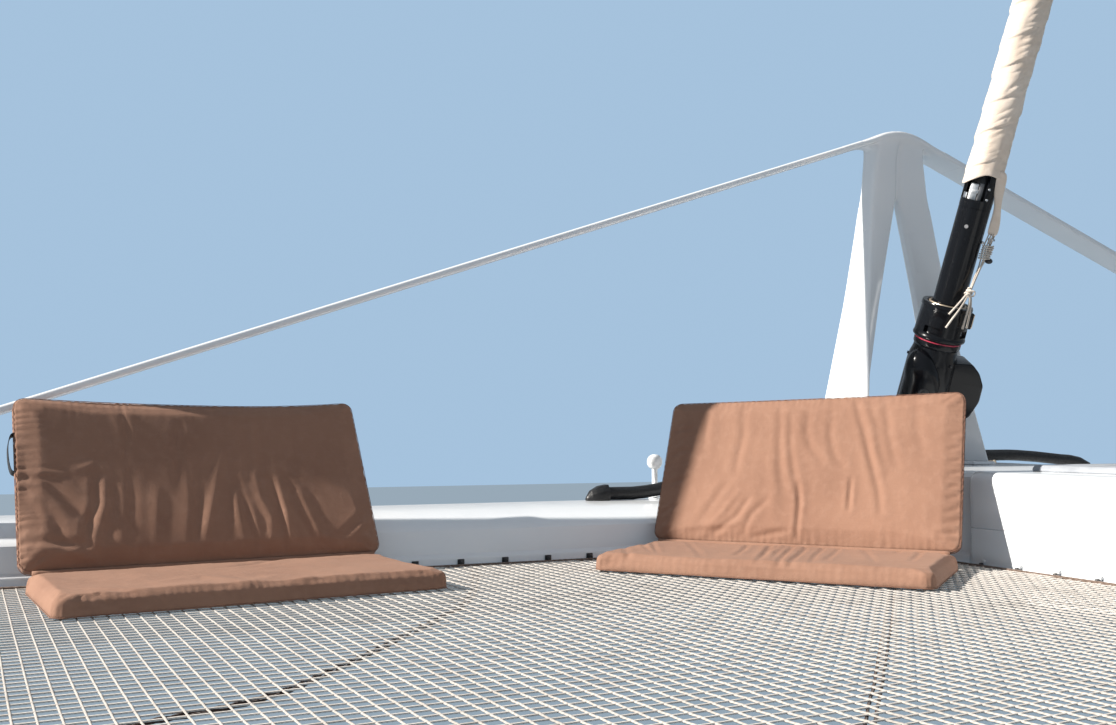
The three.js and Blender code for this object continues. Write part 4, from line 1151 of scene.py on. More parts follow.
# Middle of the strip and the half width of each edge from it, in the furler's own turned directions
stripRows = [
    (0.034, -0.050, 0.885, 0.027, 0.012), (0.043, -0.048, 0.850, 0.023, 0.013),
    (0.054, -0.043, 0.805, 0.0160, 0.013), (0.0640, -0.040, 0.765, 0.0130, 0.012),
    (0.0715, -0.038, 0.725, 0.0150, 0.011), (0.0750, -0.036, 0.690, 0.0165, 0.010),
    (0.0760, -0.035, 0.665, 0.0160, 0.009), (0.0755, -0.035, 0.648, 0.0150, 0.008),
]
# Each tail leaves the knot and hangs over the collar: x, y and z in the furler's own turned directions
tailRoutes = {
    "tack_tail_a": [(0.031, -0.082, 0.436), (0.018, -0.092, 0.418), (0.002, -0.100, 0.393),
                    (-0.012, -0.103, 0.370), (-0.023, -0.103, 0.350)],
    "tack_tail_b": [(0.033, -0.084, 0.434), (0.023, -0.096, 0.408), (0.008, -0.104, 0.372),
                    (-0.008, -0.106, 0.334), (-0.021, -0.105, 0.299)],
    "tack_tail_c": [(0.038, -0.083, 0.434), (0.041, -0.094, 0.410), (0.042, -0.100, 0.376),
                    (0.041, -0.101, 0.340), (0.042, -0.100, 0.303)],
    "tack_tail_d": [(0.041, -0.080, 0.434), (0.048, -0.088, 0.410), (0.053, -0.094, 0.376),
                    (0.056, -0.096, 0.342), (0.058, -0.095, 0.308)],
}


def finePath(points, perSpan=6):
    points = [Vector(p) for p in points]
    last = len(points) - 1
    path = []
    for i in range(last):
        a, b, c, d = (points[min(max(i + k, 0), last)] for k in (-1, 0, 1, 2))
        for step in range(perSpan):
            t = step / perSpan
            path.append(0.5 * (2 * b + (c - a) * t + (2 * a - 5 * b + 4 * c - d) * t * t
                               + (3 * b - a - 3 * c + d) * t ** 3))
    return path + [points[-1]]


def cordPiece(bm, points, radius, sides=8):
    wrapUv(bm, addTube(bm, points, radius, sides))


# Two layers of the sail's cloth with a soft fold along them
def makeStrip():
    rings = []
    for x, y, z, wide, deep in stripRows:
        ring = []
        for k in range(16):
            angle = 2 * math.pi * k / 16
            bulge = 1.0 + 0.16 * math.sin(2 * angle + z * 40)
            ring.append(Vector((x + wide * math.cos(angle) * bulge,
                                y + 0.45 * deep * math.sin(angle) * bulge - 0.20 * wide * math.cos(angle), z)))
        rings.append(ring)
    bm = bmesh.new()
    wrapUv(bm, loft(bm, rings))
    strip = leaned(faced(bm), "tack_strip", "sailcloth", "furler_rotor", "sailcloth")
    subdivided(strip, 2)


# The turns of the lashing, its four lines down to the knot, the knot and its bow
def makeLashing():
    bm = bmesh.new()
    cx, cy, cz = tack["turnsAt"]
    steps = tack["turns"] * 20
    helix = []
    for i in range(steps + 1):
        angle = 2 * math.pi * i / 20
        swell = 1 + 0.10 * math.sin(i * 1.7)
        helix.append((cx + 0.12 * i / steps * 0.03 + tack["turnWide"] * swell * math.cos(angle),
                      cy + tack["turnDeep"] * swell * math.sin(angle) - 0.004,
                      cz + tack["turnPitch"] * i / 20))
    cordPiece(bm, helix, tack["cord"])
    kx, ky, kz = tack["knotAt"]
    for dx, dy in ((-0.011, 0.0), (-0.004, -0.007), (0.004, -0.006), (0.011, 0.002)):
        line = [(0.076 + dx, -0.035 + dy * 0.5, 0.656), (cx + dx, cy + dy, cz + 0.045),
                (cx + dx * 0.8, cy + dy, cz), (cx - 0.009 + dx * 0.4, cy - 0.012 + dy, cz - 0.034),
                (0.050 + dx * 0.3, -0.060 + dy, 0.488),
                (kx + 0.005 + dx * 0.3, ky + 0.004 + dy * 0.6, kz + 0.018), (kx + dx * 0.3, ky + dy * 0.4, kz)]
        cordPiece(bm, finePath(line), tack["cord"])
    down = Vector((-0.45, -0.35, -0.82)).normalized()
    across = down.orthogonal().normalized()
    other = down.cross(across)
    knot = []
    for i in range(4 * 18 + 1):
        angle = 2 * math.pi * i / 18
        r = tack["knotRadius"] * (1 + 0.12 * math.sin(i * 0.9))
        knot.append(Vector((kx, ky, kz)) + down * (-0.014 + 0.028 * i / 72)
                    + r * (math.cos(angle) * across + math.sin(angle) * other))
    cordPiece(bm, knot, tack["cord"] * 1.15)
    bow = [(kx - 0.008, ky - 0.006, kz + 0.006), (kx + 0.014, ky - 0.012, kz + 0.010),
           (kx + 0.018, ky - 0.008, kz - 0.006), (kx + 0.002, ky - 0.013, kz - 0.010),
           (kx - 0.010, ky - 0.008, kz - 0.004)]
    cordPiece(bm, finePath(bow), tack["cord"] * 1.1)
    leaned(faced(bm), "tack_lashing", "whiteLine", "furler_rotor", "net_cord")


def makeTackPin():
    metal = bmesh.new()
    stud(metal, (0.066, -0.036, 0.634), (1, -0.1, 0), 0.0045, 0.024, 12)
    for x, z in ((0.050, 0.618), (0.074, 0.622)):
        made = bmesh.ops.create_uvsphere(metal, u_segments=16, v_segments=10, radius=0.006)["verts"]
        bmesh.ops.translate(metal, vec=(x, -0.036, z), verts=made)
    leaned(faced(metal), "tack_pin", "steel", "furler_rotor", "steel")
    ball = bmesh.new()
    made = bmesh.ops.create_uvsphere(ball, u_segments=24, v_segments=16, radius=tack["ball"])["verts"]
    bmesh.ops.scale(ball, vec=(1.15, 1.0, 0.85), verts=made)
    bmesh.ops.translate(ball, vec=tack["ballAt"], verts=made)
    leaned(faced(ball), "tack_ball", "blackPlastic", "furler_rotor", "black_rubber")


def makeTails():
    place = stayPlace @ Matrix.Rotation(rad(furler["turn"]), 4, "Z")
    for name, route in tailRoutes.items():
        path = [place @ p for p in finePath(route, 5)]
        bm = bmesh.new()
        cordPiece(bm, path, tack["tailDiameter"] / 2, 10)
        tail = dress(toObject(bm, name, finish["whiteLine"]), "furler_rotor", "net_cord")


makeStrip()
makeLashing()
makeTackPin()
makeTails()
print("tack made")

# Nets: straight cords each way, skewed a little, clipped to the net's outline

net = {
    "pitch": 0.032, "outer": 3.69, "inner": 0.446, "aft": 0.040, "inset": 0.020, "hemRadius": 0.007,
    "warpRadius": 0.0021, "weftRadius": 0.0018, "weave": 0.0004, "wander": 0.0012, "laceDrop": 0.0045,
    "hookEvery": 0.146, "hookEverySide": 0.140, "hookFirst": 0.130,
}
# Brown twine laced through the port net, seen from above
laced = [
    [(-3.66, 1.60), (-3.30, 1.76), (-3.05, 1.92), (-2.94, 1.99), (-2.74, 2.08), (-2.56, 2.28), (-2.35, 2.56),
     (-2.16, 2.82), (-2.04, 3.06), (-1.93, 3.35), (-1.87, 3.53)],
    [(-2.72, 0.72), (-2.36, 1.14), (-2.00, 1.56), (-1.81, 1.77), (-1.56, 2.05), (-1.30, 2.34), (-1.07, 2.60),
     (-0.86, 2.83)],
]


def netOutline(inset, steps=40):
    radius = beam["cornerRadius"] - net["inset"] - inset
    limit = -net["inner"] - inset
    last = math.asin((limit - cornerX) / radius)
    arc = [(cornerX + radius * math.sin(last * (steps - i) / steps),
            cornerY + radius * math.cos(last * (steps - i) / steps)) for i in range(steps + 1)]
    return [(-net["outer"] + inset, net["aft"] + inset), (limit, net["aft"] + inset), *arc,
            (-net["outer"] + inset, cornerY + radius)]


# Where the line at this place across runs inside the outline, as pairs of places along it
def spansInside(outline, place):
    hits = []
    for (u0, v0), (u1, v1) in zip(outline, outline[1:] + outline[:1]):
        if (u0 - place) * (u1 - place) < 0:
            hits.append(v0 + (v1 - v0) * (place - u0) / (u1 - u0))
    hits.sort()
    return list(zip(hits[::2], hits[1::2]))


def makeCords(name, material, side, alongWarp, nodes):
    lean = rad(netSkew)
    ahead = Vector((-math.sin(lean), math.cos(lean), 0))
    across = Vector((math.cos(lean), math.sin(lean), 0))
    if not alongWarp:
        ahead, across = across, ahead
    outline = [Vector((x, y, 0)) for x, y in netOutline(net["hemRadius"])]
    flat = [(p.dot(across), p.dot(ahead)) for p in outline]
    pitch = net["pitch"]
    radius = net["warpRadius"] if alongWarp else net["weftRadius"]
    step = pitch / 2 if alongWarp else pitch
    curve = bpy.data.curves.new(name, "CURVE")
    curve.dimensions = "3D"
    curve.bevel_depth = radius
    curve.bevel_resolution = 0
    curve.use_fill_caps = True
    first = math.ceil(min(u for u, v in flat) / pitch)
    last = math.floor(max(u for u, v in flat) / pitch)
    for line in range(first, last + 1):
        place = (line + 0.5) * pitch
        for low, high in spansInside(flat, place):
            places = [low] + [k * step for k in range(math.ceil(low / step + 0.3),
                                                     math.floor(high / step - 0.3) + 1)] + [high]
            spline = curve.splines.new("POLY")
            spline.points.add(len(places) - 1)
            for point, v in zip(spline.points, places):
                crossing = v / pitch - 0.5
                wave = math.cos(math.pi * crossing) * (-1) ** line * (1 if alongWarp else -1)
                drift = net["wander"] * noise.noise(Vector((place * 3, v * 2.2, 4.0 + side)))
                spot = across * (place + drift) + ahead * v + Vector((0, 0, net["weave"] * wave))
                point.co = (side * spot.x, spot.y, spot.z, 1)
                point.radius = (1.22 if abs(wave) > 0.7 else 0.94) if alongWarp else 1.0
    holder = bpy.data.objects.new(name, curve)
    scene.collection.objects.link(holder)
    mesh = bpy.data.meshes.new_from_object(
        holder.evaluated_get(bpy.context.evaluated_depsgraph_get()))
    bpy.data.objects.remove(holder)
    mesh.name = name
    markSmooth(mesh)
    obj = linked(name, mesh, material)
    dress(obj, "foredeck", "net_cord", *nodes)
    print(name, len(mesh.polygons), "faces")


def makeHem(side, name):
    bm = bmesh.new()
    path = [Vector((side * x, y, 0)) for x, y in netOutline(net["hemRadius"], 48)]
    fine = []
    for a, b in zip(path, path[1:] + path[:1]):
        pieces = max(1, round((b - a).length / 0.06))
        fine += [a.lerp(b, i / pieces) for i in range(pieces)]
    fine.append(fine[0].copy())
    layers = addTube(bm, fine, net["hemRadius"] * 0.9, 8)
    wrapUv(bm, layers)
    obj = toObject(bm, "hem_rope_" + name, finish["hemRope"])
    dress(obj, "foredeck", "hem_webbing", "trampoline_hem_" + name)


# Parts of one fastener, as low corner, high corner and edge radius
clipBlocks = [
    ((-0.0110, -0.0045, 0.0020), (0.0110, 0.0, 0.0190), 0.0018),
    ((-0.0060, -0.0150, 0.0060), (0.0060, -0.0030, 0.0150), 0.0028),
    ((-0.0055, -0.0180, -0.0060), (0.0055, -0.0115, 0.0140), 0.0024),
    ((-0.0060, -0.0210, -0.0090), (0.0060, -0.0030, -0.0045), 0.0016),
]
knobBlocks = [((-0.0080, -0.0100, 0.0060), (0.0080, 0.0, 0.0200), 0.0040)]
# A dark block under each knob that stands in for the knob's shadow: painted shade
knobShadowBlocks = [((-0.0050, -0.0200, -0.0090), (0.0050, -0.0070, 0.0100), 0.0030)]


def makeFasteners(name, side, places, blocks, material):
    bm = bmesh.new()
    for (x, y), turn in places:
        fastener = bmesh.new()
        for low, high, edge in blocks:
            block(fastener, low, high, edge)
        fastener.transform(Matrix.Translation((x, y, 0)) @ Matrix.Rotation(rad(turn), 4, "Z"))
        if side < 0:
            fastener.transform(Matrix.Scale(-1, 4, (1, 0, 0)))
            bmesh.ops.reverse_faces(fastener, faces=fastener.faces)
        part = bpy.data.meshes.new("fastener")
        fastener.to_mesh(part)
        fastener.free()
        bm.from_mesh(part)
        bpy.data.meshes.remove(part)
    dress(toObject(bm, name, finish[material], 35), "foredeck", "hem_webbing")


# Black clips on the beam's lip; pale knobs along the walkway, each with a dark block below it as painted shadow
def makeHooks(side, name):
    wallGap = 0.0004
    places = []
    x = cornerX - 0.014
    while x > -net["outer"] + 0.02:
        places.append(((x, beam["aft"] - wallGap), 0.0))
        x -= net["hookEvery"]
    step = math.degrees(net["hookEvery"] / beam["cornerRadius"])
    angle = step
    while angle < beam["cornerEnd"] - step / 2:
        radius = beam["cornerRadius"] - wallGap - 0.0012
        spot = (cornerX + radius * math.sin(rad(angle)), cornerY + radius * math.cos(rad(angle)))
        places.append((spot, -angle))
        angle += step
    beside = []
    y = net["hookFirst"]
    while y < cornerY + beam["cornerRadius"] * math.cos(rad(beam["cornerEnd"])) - 0.05:
        beside.append(((-walkway["halfWidth"] - wallGap, y), -90.0))
        y += net["hookEverySide"]
    makeFasteners("hem_hooks_" + name, side, places, clipBlocks, "blackPlastic")
    makeFasteners("hem_knobs_" + name, side, beside, knobBlocks, "whitePlastic")
    # Painted shade: a dark block below each pale knob
    makeFasteners("hem_knob_shadows_" + name, side, beside, knobShadowBlocks, "blackPlastic")


def makeLacing():
    bm = bmesh.new()
    for line in laced:
        path = finePath([(x, y, 0) for x, y in line], 24)
        for shift in (-0.0065, 0.0065):
            fine = []
            for i, point in enumerate(path):
                ahead = (path[min(i + 1, len(path) - 1)] - path[max(i - 1, 0)]).normalized()
                drift = 0.002 * noise.noise(Vector((i * 0.35, shift * 400, 0)))
                rise = 0.0009 * math.sin(i * 1.9 + shift * 300) - net["laceDrop"]
                fine.append(point + Vector((-ahead.y, ahead.x, 0)) * (shift + drift) + Vector((0, 0, rise)))
            cordPiece(bm, fine, 0.0028, 6)
    dress(toObject(bm, "net_lacing", finish["tieLine"]), "foredeck", "hem_webbing")


for side, name in ((1, "port"), (-1, "starboard")):
    title = name.capitalize()
    makeCords("net_warp_" + name, finish["netWarp" + title], side, True, ["trampoline_" + name])
    makeCords("net_weft_" + name, finish["netWeft" + title], side, False, [])
    makeHem(side, name)
    makeHooks(side, name)
makeLacing()
print("nets made")

# Seats: pad and back are boxed cushions with welted seams

seat = {
    "width": 0.940, "depth": 0.480, "back": 0.512, "thickness": 0.042, "inset": 0.012, "hingeRadius": 0.0109,
    "endGap": 0.00545, "faceGap": 0.0004, "gap": 0.0003, "corner": 0.030, "welt": 0.0010,
    "voxel": 0.0058, "pressure": 4.5, "cap": 0.0065, "frames": 12, "deepestSag": 0.24, "pressedTo": 0.82,
    "gatherWave": 0.021, "gatherReach": 0.026, "gatherDepth": 0.0030, "gussetDepth": 0.0016,
    "wrinkles": 0.0014, "lumps": 0.0034,
}
# Joint, moving body and recline of each back
seatRows = {
    "outer_seat": ("outer_back_fold", "outer_back", 30.3),
    "inner_seat": ("inner_back_fold", "inner_back", 24.7),
}
# Thickness before it swells, upper and lower rim, how far the left and the right side and the two ends of
# the top edge stand past the plain outline, the top edge's sag, the wave of the front face and the share of
# folds and of wrinkles
cushions = {
    "outer_seat_pad": {"thick": 0.046, "rims": (0.0135, 0.006), "sides": (0.002, 0.004), "top": (0.0, 0.0),
                       "sag": 0.0, "bow": 0.0, "folds": 1.0, "wrinkles": 1.0},
    "outer_seat_back": {"thick": 0.038, "rims": (0.012, 0.012), "sides": (0.015, 0.011), "top": (0.003, 0.003),
                        "sag": 0.018, "bow": 0.0035, "folds": 0.7, "wrinkles": 0.35},
    "inner_seat_pad": {"thick": 0.046, "rims": (0.0135, 0.006), "sides": (0.010, 0.010), "top": (0.0, 0.0),
                       "sag": 0.0, "bow": 0.0, "folds": 1.0, "wrinkles": 1.0},
    "inner_seat_back": {"thick": 0.038, "rims": (0.012, 0.012), "sides": (0.008, 0.014), "top": (-0.017, 0.013),
                        "sag": 0.002, "bow": 0.0, "folds": 1.0, "wrinkles": 0.8},
}
# How strongly the cloth is gathered at the left, right, top and bottom edge
gathered = {
    "outer_seat_back": (1.35, 0.5, 0.45, 0.5), "outer_seat_pad": (0.4, 0.3, 0.3, 0.45),
    "inner_seat_back": (0.45, 0.9, 0.5, 0.6), "inner_seat_pad": (0.4, 0.4, 0.3, 0.4),
}
# Folds run over each face as (across, up) shares of it, with a half width and a depth in millimetres
folds = {
    "outer_seat_back": [
        (((0.56, 0.68), (0.53, 0.50), (0.50, 0.28), (0.48, 0.15)), 11, -4.0),
        (((0.47, 0.55), (0.47, 0.36), (0.45, 0.13)), 13, 4.0),
        (((0.58, 0.54), (0.56, 0.35), (0.54, 0.12)), 13, 4.0),
        (((0.28, 0.97), (0.29, 0.79), (0.28, 0.60)), 9, 2.4),
        (((0.44, 0.84), (0.42, 0.60), (0.42, 0.41)), 13, 2.2),
        (((0.59, 0.46), (0.60, 0.30), (0.61, 0.13), (0.61, 0.03)), 11, 5.0),
        (((0.64, 0.51), (0.65, 0.35), (0.67, 0.22), (0.66, 0.05)), 12, -4.0),
        (((0.69, 0.47), (0.70, 0.27), (0.70, 0.05)), 10, 5.0),
        (((0.71, 0.47), (0.72, 0.28), (0.72, 0.04)), 10, -3.0),
        (((0.74, 0.47), (0.75, 0.29), (0.78, 0.12), (0.80, 0.02)), 11, 4.0),
        (((0.77, 0.46), (0.79, 0.28), (0.81, 0.14), (0.85, 0.05)), 13, -3.0),
        (((0.68, 0.91), (0.68, 0.67), (0.68, 0.43)), 13, 2.6),
        (((0.63, 0.91), (0.63, 0.69), (0.63, 0.48)), 12, 2.4),
        (((0.78, 0.92), (0.78, 0.69), (0.77, 0.42)), 13, 2.2),
        (((0.88, 0.09), (0.96, 0.21), (1.00, 0.31)), 12, 3.0),
        (((0.91, 0.06), (0.98, 0.15), (1.00, 0.21)), 10, 3.0),
        (((0.15, 0.56), (0.19, 0.58), (0.23, 0.53)), 13, -3.5),
        (((0.20, 0.56), (0.20, 0.36), (0.17, 0.22), (0.16, 0.09)), 10, 4.5),
        (((0.22, 0.48), (0.21, 0.30), (0.18, 0.10)), 13, -3.5),
        (((0.07, 0.50), (0.12, 0.38), (0.17, 0.26), (0.22, 0.17)), 16, 5.0),
        (((0.04, 0.53), (0.07, 0.54), (0.12, 0.53)), 7, -2.2),
        (((0.05, 0.34), (0.09, 0.21), (0.11, 0.10)), 15, 4.5),
        (((0.04, 0.40), (0.07, 0.28), (0.08, 0.17)), 11, -3.0),
        (((0.01, 0.12), (0.11, 0.09), (0.19, 0.04)), 13, -4.5),
        (((0.02, 0.15), (0.10, 0.14), (0.17, 0.12)), 10, 3.0),
        (((0.29, 0.55), (0.29, 0.37), (0.28, 0.15)), 13, 2.6),
        (((0.36, 0.44), (0.35, 0.29), (0.34, 0.12)), 15, -2.4),
    ],
    "outer_seat_pad": [
        (((0.04, 0.28), (0.14, 0.09), (0.24, -0.06), (0.32, -0.11)), 14, 3.0),
        (((0.27, 0.26), (0.38, 0.35), (0.45, 0.05), (0.55, 0.21)), 26, -3.5),
        (((0.53, -0.05), (0.64, 0.04), (0.71, -0.04), (0.78, 0.04)), 12, 2.6),
        (((0.46, 0.69), (0.59, 0.81), (0.71, 1.03)), 16, 2.2),
        (((0.77, 0.81), (0.91, 0.80), (0.97, 0.56)), 20, -2.0),
    ],
    "inner_seat_back": [
        (((0.27, 0.96), (0.28, 0.73), (0.27, 0.55), (0.27, 0.45)), 12, 2.6),
        (((0.40, 0.95), (0.41, 0.73), (0.42, 0.52), (0.44, 0.34)), 12, 3.0),
        (((0.39, 0.55), (0.41, 0.35), (0.42, 0.12)), 16, -2.0),
        (((0.44, 0.87), (0.45, 0.64), (0.47, 0.47), (0.49, 0.35), (0.50, 0.26)), 10, 3.0),
        (((0.49, 0.39), (0.50, 0.26), (0.50, 0.13), (0.50, 0.04)), 7, 5.5),
        (((0.50, 0.89), (0.50, 0.75), (0.52, 0.64), (0.56, 0.54)), 11, 2.8),
        (((0.58, 0.88), (0.58, 0.73), (0.60, 0.59), (0.63, 0.51)), 11, 2.6),
        (((0.66, 0.43), (0.66, 0.33), (0.66, 0.23)), 6, 5.0),
        (((0.65, 0.99), (0.69, 0.74), (0.71, 0.61), (0.73, 0.48), (0.75, 0.35), (0.76, 0.22)), 9, 3.8),
        (((0.68, 0.97), (0.72, 0.74), (0.73, 0.61), (0.76, 0.48)), 10, -2.4),
        (((0.75, 0.98), (0.77, 0.73), (0.80, 0.51)), 11, 2.6),
        (((0.85, 0.96), (0.86, 0.76), (0.88, 0.58)), 14, 1.6),
        (((0.13, 0.96), (0.14, 0.76), (0.15, 0.58)), 13, 2.2),
        (((0.33, 0.30), (0.29, 0.16), (0.21, 0.03)), 9, 3.4),
        (((0.29, 0.33), (0.24, 0.18), (0.18, 0.04)), 11, -2.6),
        (((0.39, 0.28), (0.34, 0.17), (0.32, 0.05)), 9, 3.0),
        (((0.25, 0.41), (0.20, 0.24), (0.16, 0.10)), 12, 2.2),
        (((0.35, 0.03), (0.41, 0.06), (0.47, 0.08)), 8, 3.0),
        (((0.13, 0.05), (0.23, 0.07), (0.32, 0.10)), 9, 2.0),
        (((0.96, 0.72), (1.00, 0.73)), 6, 2.6),
        (((0.96, 0.63), (1.00, 0.65)), 6, 2.8),
        (((0.96, 0.55), (1.00, 0.57)), 6, 2.8),
        (((0.96, 0.47), (1.00, 0.49)), 6, 3.0),
        (((0.96, 0.39), (1.00, 0.41)), 6, 3.0),
        (((0.96, 0.32), (1.00, 0.34)), 7, 3.4),
        (((0.96, 0.24), (1.00, 0.26)), 7, 3.4),
        (((0.95, 0.17), (1.00, 0.18)), 7, 3.6),
        (((0.94, 0.10), (1.00, 0.11)), 7, 3.6),
        (((0.02, 0.77), (0.07, 0.78), (0.10, 0.79)), 7, 2.4),
        (((0.02, 0.58), (0.07, 0.62), (0.10, 0.62)), 8, 2.6),
        (((0.01, 0.37), (0.06, 0.39), (0.10, 0.42)), 8, 2.4),
        (((0.01, 0.16), (0.05, 0.20), (0.08, 0.23)), 7, 2.2),
    ],
    "inner_seat_pad": [
        (((0.34, 1.02), (0.39, 0.55), (0.41, 0.27)), 7, 3.2),
        (((0.39, 1.27), (0.47, 0.47), (0.51, 0.04)), 7, 4.2),
        (((0.45, 1.13), (0.49, 0.50), (0.54, 0.04)), 7, -3.0),
        (((0.47, 1.25), (0.54, 0.39), (0.58, -0.06)), 7, 4.2),
        (((0.52, 1.21), (0.58, 0.43), (0.61, -0.03)), 7, 4.0),
        (((0.58, 1.17), (0.62, 0.55), (0.66, 0.08)), 7, 3.4),
        (((0.63, 1.13), (0.67, 0.51), (0.69, 0.18)), 7, 2.8),
        (((0.00, 0.97), (0.10, 0.52), (0.18, 0.16)), 7, 3.0),
        (((0.00, 0.94), (0.05, 0.57), (0.16, 0.17)), 7, 2.6),
        (((0.00, 0.49), (0.09, 0.11), (0.19, -0.24)), 9, 2.2),
        (((0.81, 1.68), (0.82, 1.31), (0.83, 0.83)), 8, 3.0),
        (((0.88, 1.23), (0.90, 0.74), (0.91, 0.35)), 8, 3.0),
        (((0.91, 1.40), (0.97, 0.81)), 9, 2.4),
        (((0.12, 1.01), (0.26, 0.43), (0.33, 0.11)), 9, 1.8),
        (((0.71, 1.03), (0.77, 0.62), (0.82, 0.24)), 9, 2.0),
    ],
}


# Distance in from the cushion's outline, negative outside
def insideOutline(x, y, halfX, halfY, corner):
    qx, qy = np.abs(x) - (halfX - corner), np.abs(y) - (halfY - corner)
    outside = np.hypot(np.maximum(qx, 0), np.maximum(qy, 0))
    return corner - outside - np.minimum(np.maximum(qx, qy), 0)


# Moves points of a cushion from its plain outline to its real one
def reshaped(co, halfX, halfY, row):
    u, v = co[:, 0] / halfX, np.clip(co[:, 1] / halfY, 0, 1)
    left, right = row["sides"]
    topLeft, topRight = row["top"]
    deepest = seat["deepestSag"]
    near = np.clip(np.where(u < deepest, (u + 1) / (1 + deepest), (1 - u) / (1 - deepest)), 0, 1)
    moved = co.copy()
    moved[:, 0] += np.abs(u) * np.where(u < 0, -left, right)
    moved[:, 1] += v * (topLeft + (topRight - topLeft) * (u + 1) / 2) - row["sag"] * v ** 2 * near * (2 - near)
    return moved


def cushionStart(name, width, depth, thickness, rimRadii):
    bm = bmesh.new()
    bmesh.ops.create_cube(bm, size=1.0)
    bmesh.ops.scale(bm, vec=(width, depth, thickness), verts=bm.verts)
    upright = [e for e in bm.edges if abs(e.verts[0].co.z - e.verts[1].co.z) > thickness / 2]
    bmesh.ops.bevel(bm, geom=upright, offset=seat["corner"], segments=6, profile=0.5, affect="EDGES",
                    material=-1)
    for high, radius in zip((True, False), rimRadii):
        rims = [e for e in bm.edges if abs(e.calc_face_angle(0)) > rad(60)
                and (e.verts[0].co.z + e.verts[1].co.z > 0) == high]
        bmesh.ops.bevel(bm, geom=rims, offset=radius, segments=4, profile=0.5, affect="EDGES", material=-1)
    obj = toObject(bm, name, finish["seatCloth"])
    remesh = obj.modifiers.new("Remesh", "REMESH")
    remesh.mode, remesh.voxel_size = "VOXEL", seat["voxel"]
    mesh = bpy.data.meshes.new_from_object(obj.evaluated_get(bpy.context.evaluated_depsgraph_get()))
    obj.modifiers.clear()
    obj.data = mesh
    return obj


def positions(mesh):
    co = np.empty(len(mesh.vertices) * 3, np.float64)
    mesh.vertices.foreach_get("co", co)
    return co.reshape(-1, 3)


# Cloth under pressure between its sewn edges, with the travel of each point capped
def inflate(obj, sewn):
    start = positions(obj.data)
    group = obj.vertex_groups.new(name="sewn")
    group.add([int(i) for i in np.nonzero(sewn)[0]], 1.0, "REPLACE")
    cloth = obj.modifiers.new("Cloth", "CLOTH")
    cloth.settings.vertex_group_mass = "sewn"
    cloth.settings.use_pressure = True
    cloth.settings.uniform_pressure_force = seat["pressure"]
    cloth.settings.effector_weights.gravity = 0
    cloth.settings.quality = 4
    cloth.settings.tension_stiffness = cloth.settings.compression_stiffness = 8
    cloth.settings.bending_stiffness = 0.3
    cloth.point_cache.frame_end = seat["frames"]
    for number in range(1, seat["frames"] + 1):
        scene.frame_set(number)
    mesh = bpy.data.meshes.new_from_object(obj.evaluated_get(bpy.context.evaluated_depsgraph_get()))
    obj.modifiers.clear()
    obj.vertex_groups.clear()
    obj.data = mesh
    scene.frame_set(1)
    travel = positions(mesh) - start
    length = np.linalg.norm(travel, axis=1, keepdims=True)
    return start + travel * np.minimum(1, seat["cap"] / np.maximum(length, 1e-9))


# Height of the drawn folds at each point of a face
def foldHeight(name, across, up, width, depth):
    height = np.zeros_like(across)
    for line, half, deep in folds[name]:
        best = np.full_like(across, 1e9)
        fade = np.zeros_like(across)
        total = len(line) - 1
        for k, (a, b) in enumerate(zip(line, line[1:])):
            ax, ay, bx, by = a[0] * width, a[1] * depth, b[0] * width, b[1] * depth
            dx, dy = bx - ax, by - ay
            raw = ((across - ax) * dx + (up - ay) * dy) / (dx * dx + dy * dy)
            t = np.clip(raw, 0, 1)
            gap = np.hypot(across - ax - t * dx, up - ay - t * dy)
            nearer = gap < best
            best = np.where(nearer, gap, best)
            fade = np.where(nearer, (k + t) / total, fade)
        wide = half / 1000
        strength = np.sin(np.pi * np.clip(fade * 0.86 + 0.07, 0, 1)) ** 0.6
        valley = np.exp(-(best / wide) ** 2)
        bank = np.exp(-((best - 2.0 * wide) / (1.2 * wide)) ** 2)
        height += deep / 1000 * strength * (0.45 * bank - valley)
    return height


# Gathers along the seams, folds and soft lumps, as a height along each point's own normal
def clothHeight(name, co, inward, halfX, halfY, thick, seed):
    across, up = co[:, 0] + halfX, co[:, 1] + halfY
    upward = np.clip((co[:, 2] - 0.2 * thick) / (0.25 * thick), 0, 1)
    level = np.abs(co[:, 2]) / (thick / 2)
    sideways = halfX - np.abs(co[:, 0]) < halfY - np.abs(co[:, 1])
    along = np.where(sideways, up, across)
    left, right, top, bottom = gathered[name]
    strong = np.where(sideways, np.where(co[:, 0] < 0, left, right), np.where(co[:, 1] > 0, top, bottom))
    drift = np.array([noise.noise(Vector((a * 11, seed + 3.0 * side, 2.0))) for a, side in zip(along, sideways)])
    patchy = np.array([noise.noise(Vector((a * 17, seed + 5.0, 8.0))) for a in along])
    wave = np.sin(2 * np.pi * (along / seat["gatherWave"] + 1.3 * drift))
    pleat = np.where(wave > 0, np.abs(wave) ** 0.7, -np.abs(wave) ** 1.6) * (0.75 + 0.8 * patchy)
    reach = seat["gatherReach"] * (1 + 0.6 * patchy)
    near = np.exp(-np.maximum(inward, 0) / reach) * np.clip(inward / 0.004, 0, 1)
    height = -seat["gatherDepth"] * strong * near * (0.4 - pleat) * 0.7
    height += seat["gussetDepth"] * strong * pleat * np.clip(1 - inward / 0.004, 0, 1) * np.clip(1.1 - level, 0, 1)
    inside = np.clip(inward / 0.02, 0, 1)
    fine = np.array([noise.noise(Vector((x * 20, y * 9, seed))) for x, y in zip(across, up)])
    broad = np.array([noise.noise(Vector((x * 5, y * 4, seed + 9))) for x, y in zip(across, up)])
    row = cushions[name]
    height += (seat["wrinkles"] * fine + seat["lumps"] * broad) * inside * row["wrinkles"]
    drawn = foldHeight(name, across, up, 2 * halfX, 2 * halfY) * np.clip(inward / 0.010, 0.15, 1)
    wave = row["bow"] * np.cos(2 * np.pi * (up / (2 * halfY) - 0.12) / 0.81) * inside
    return height + (drawn * row["folds"] + wave) * upward


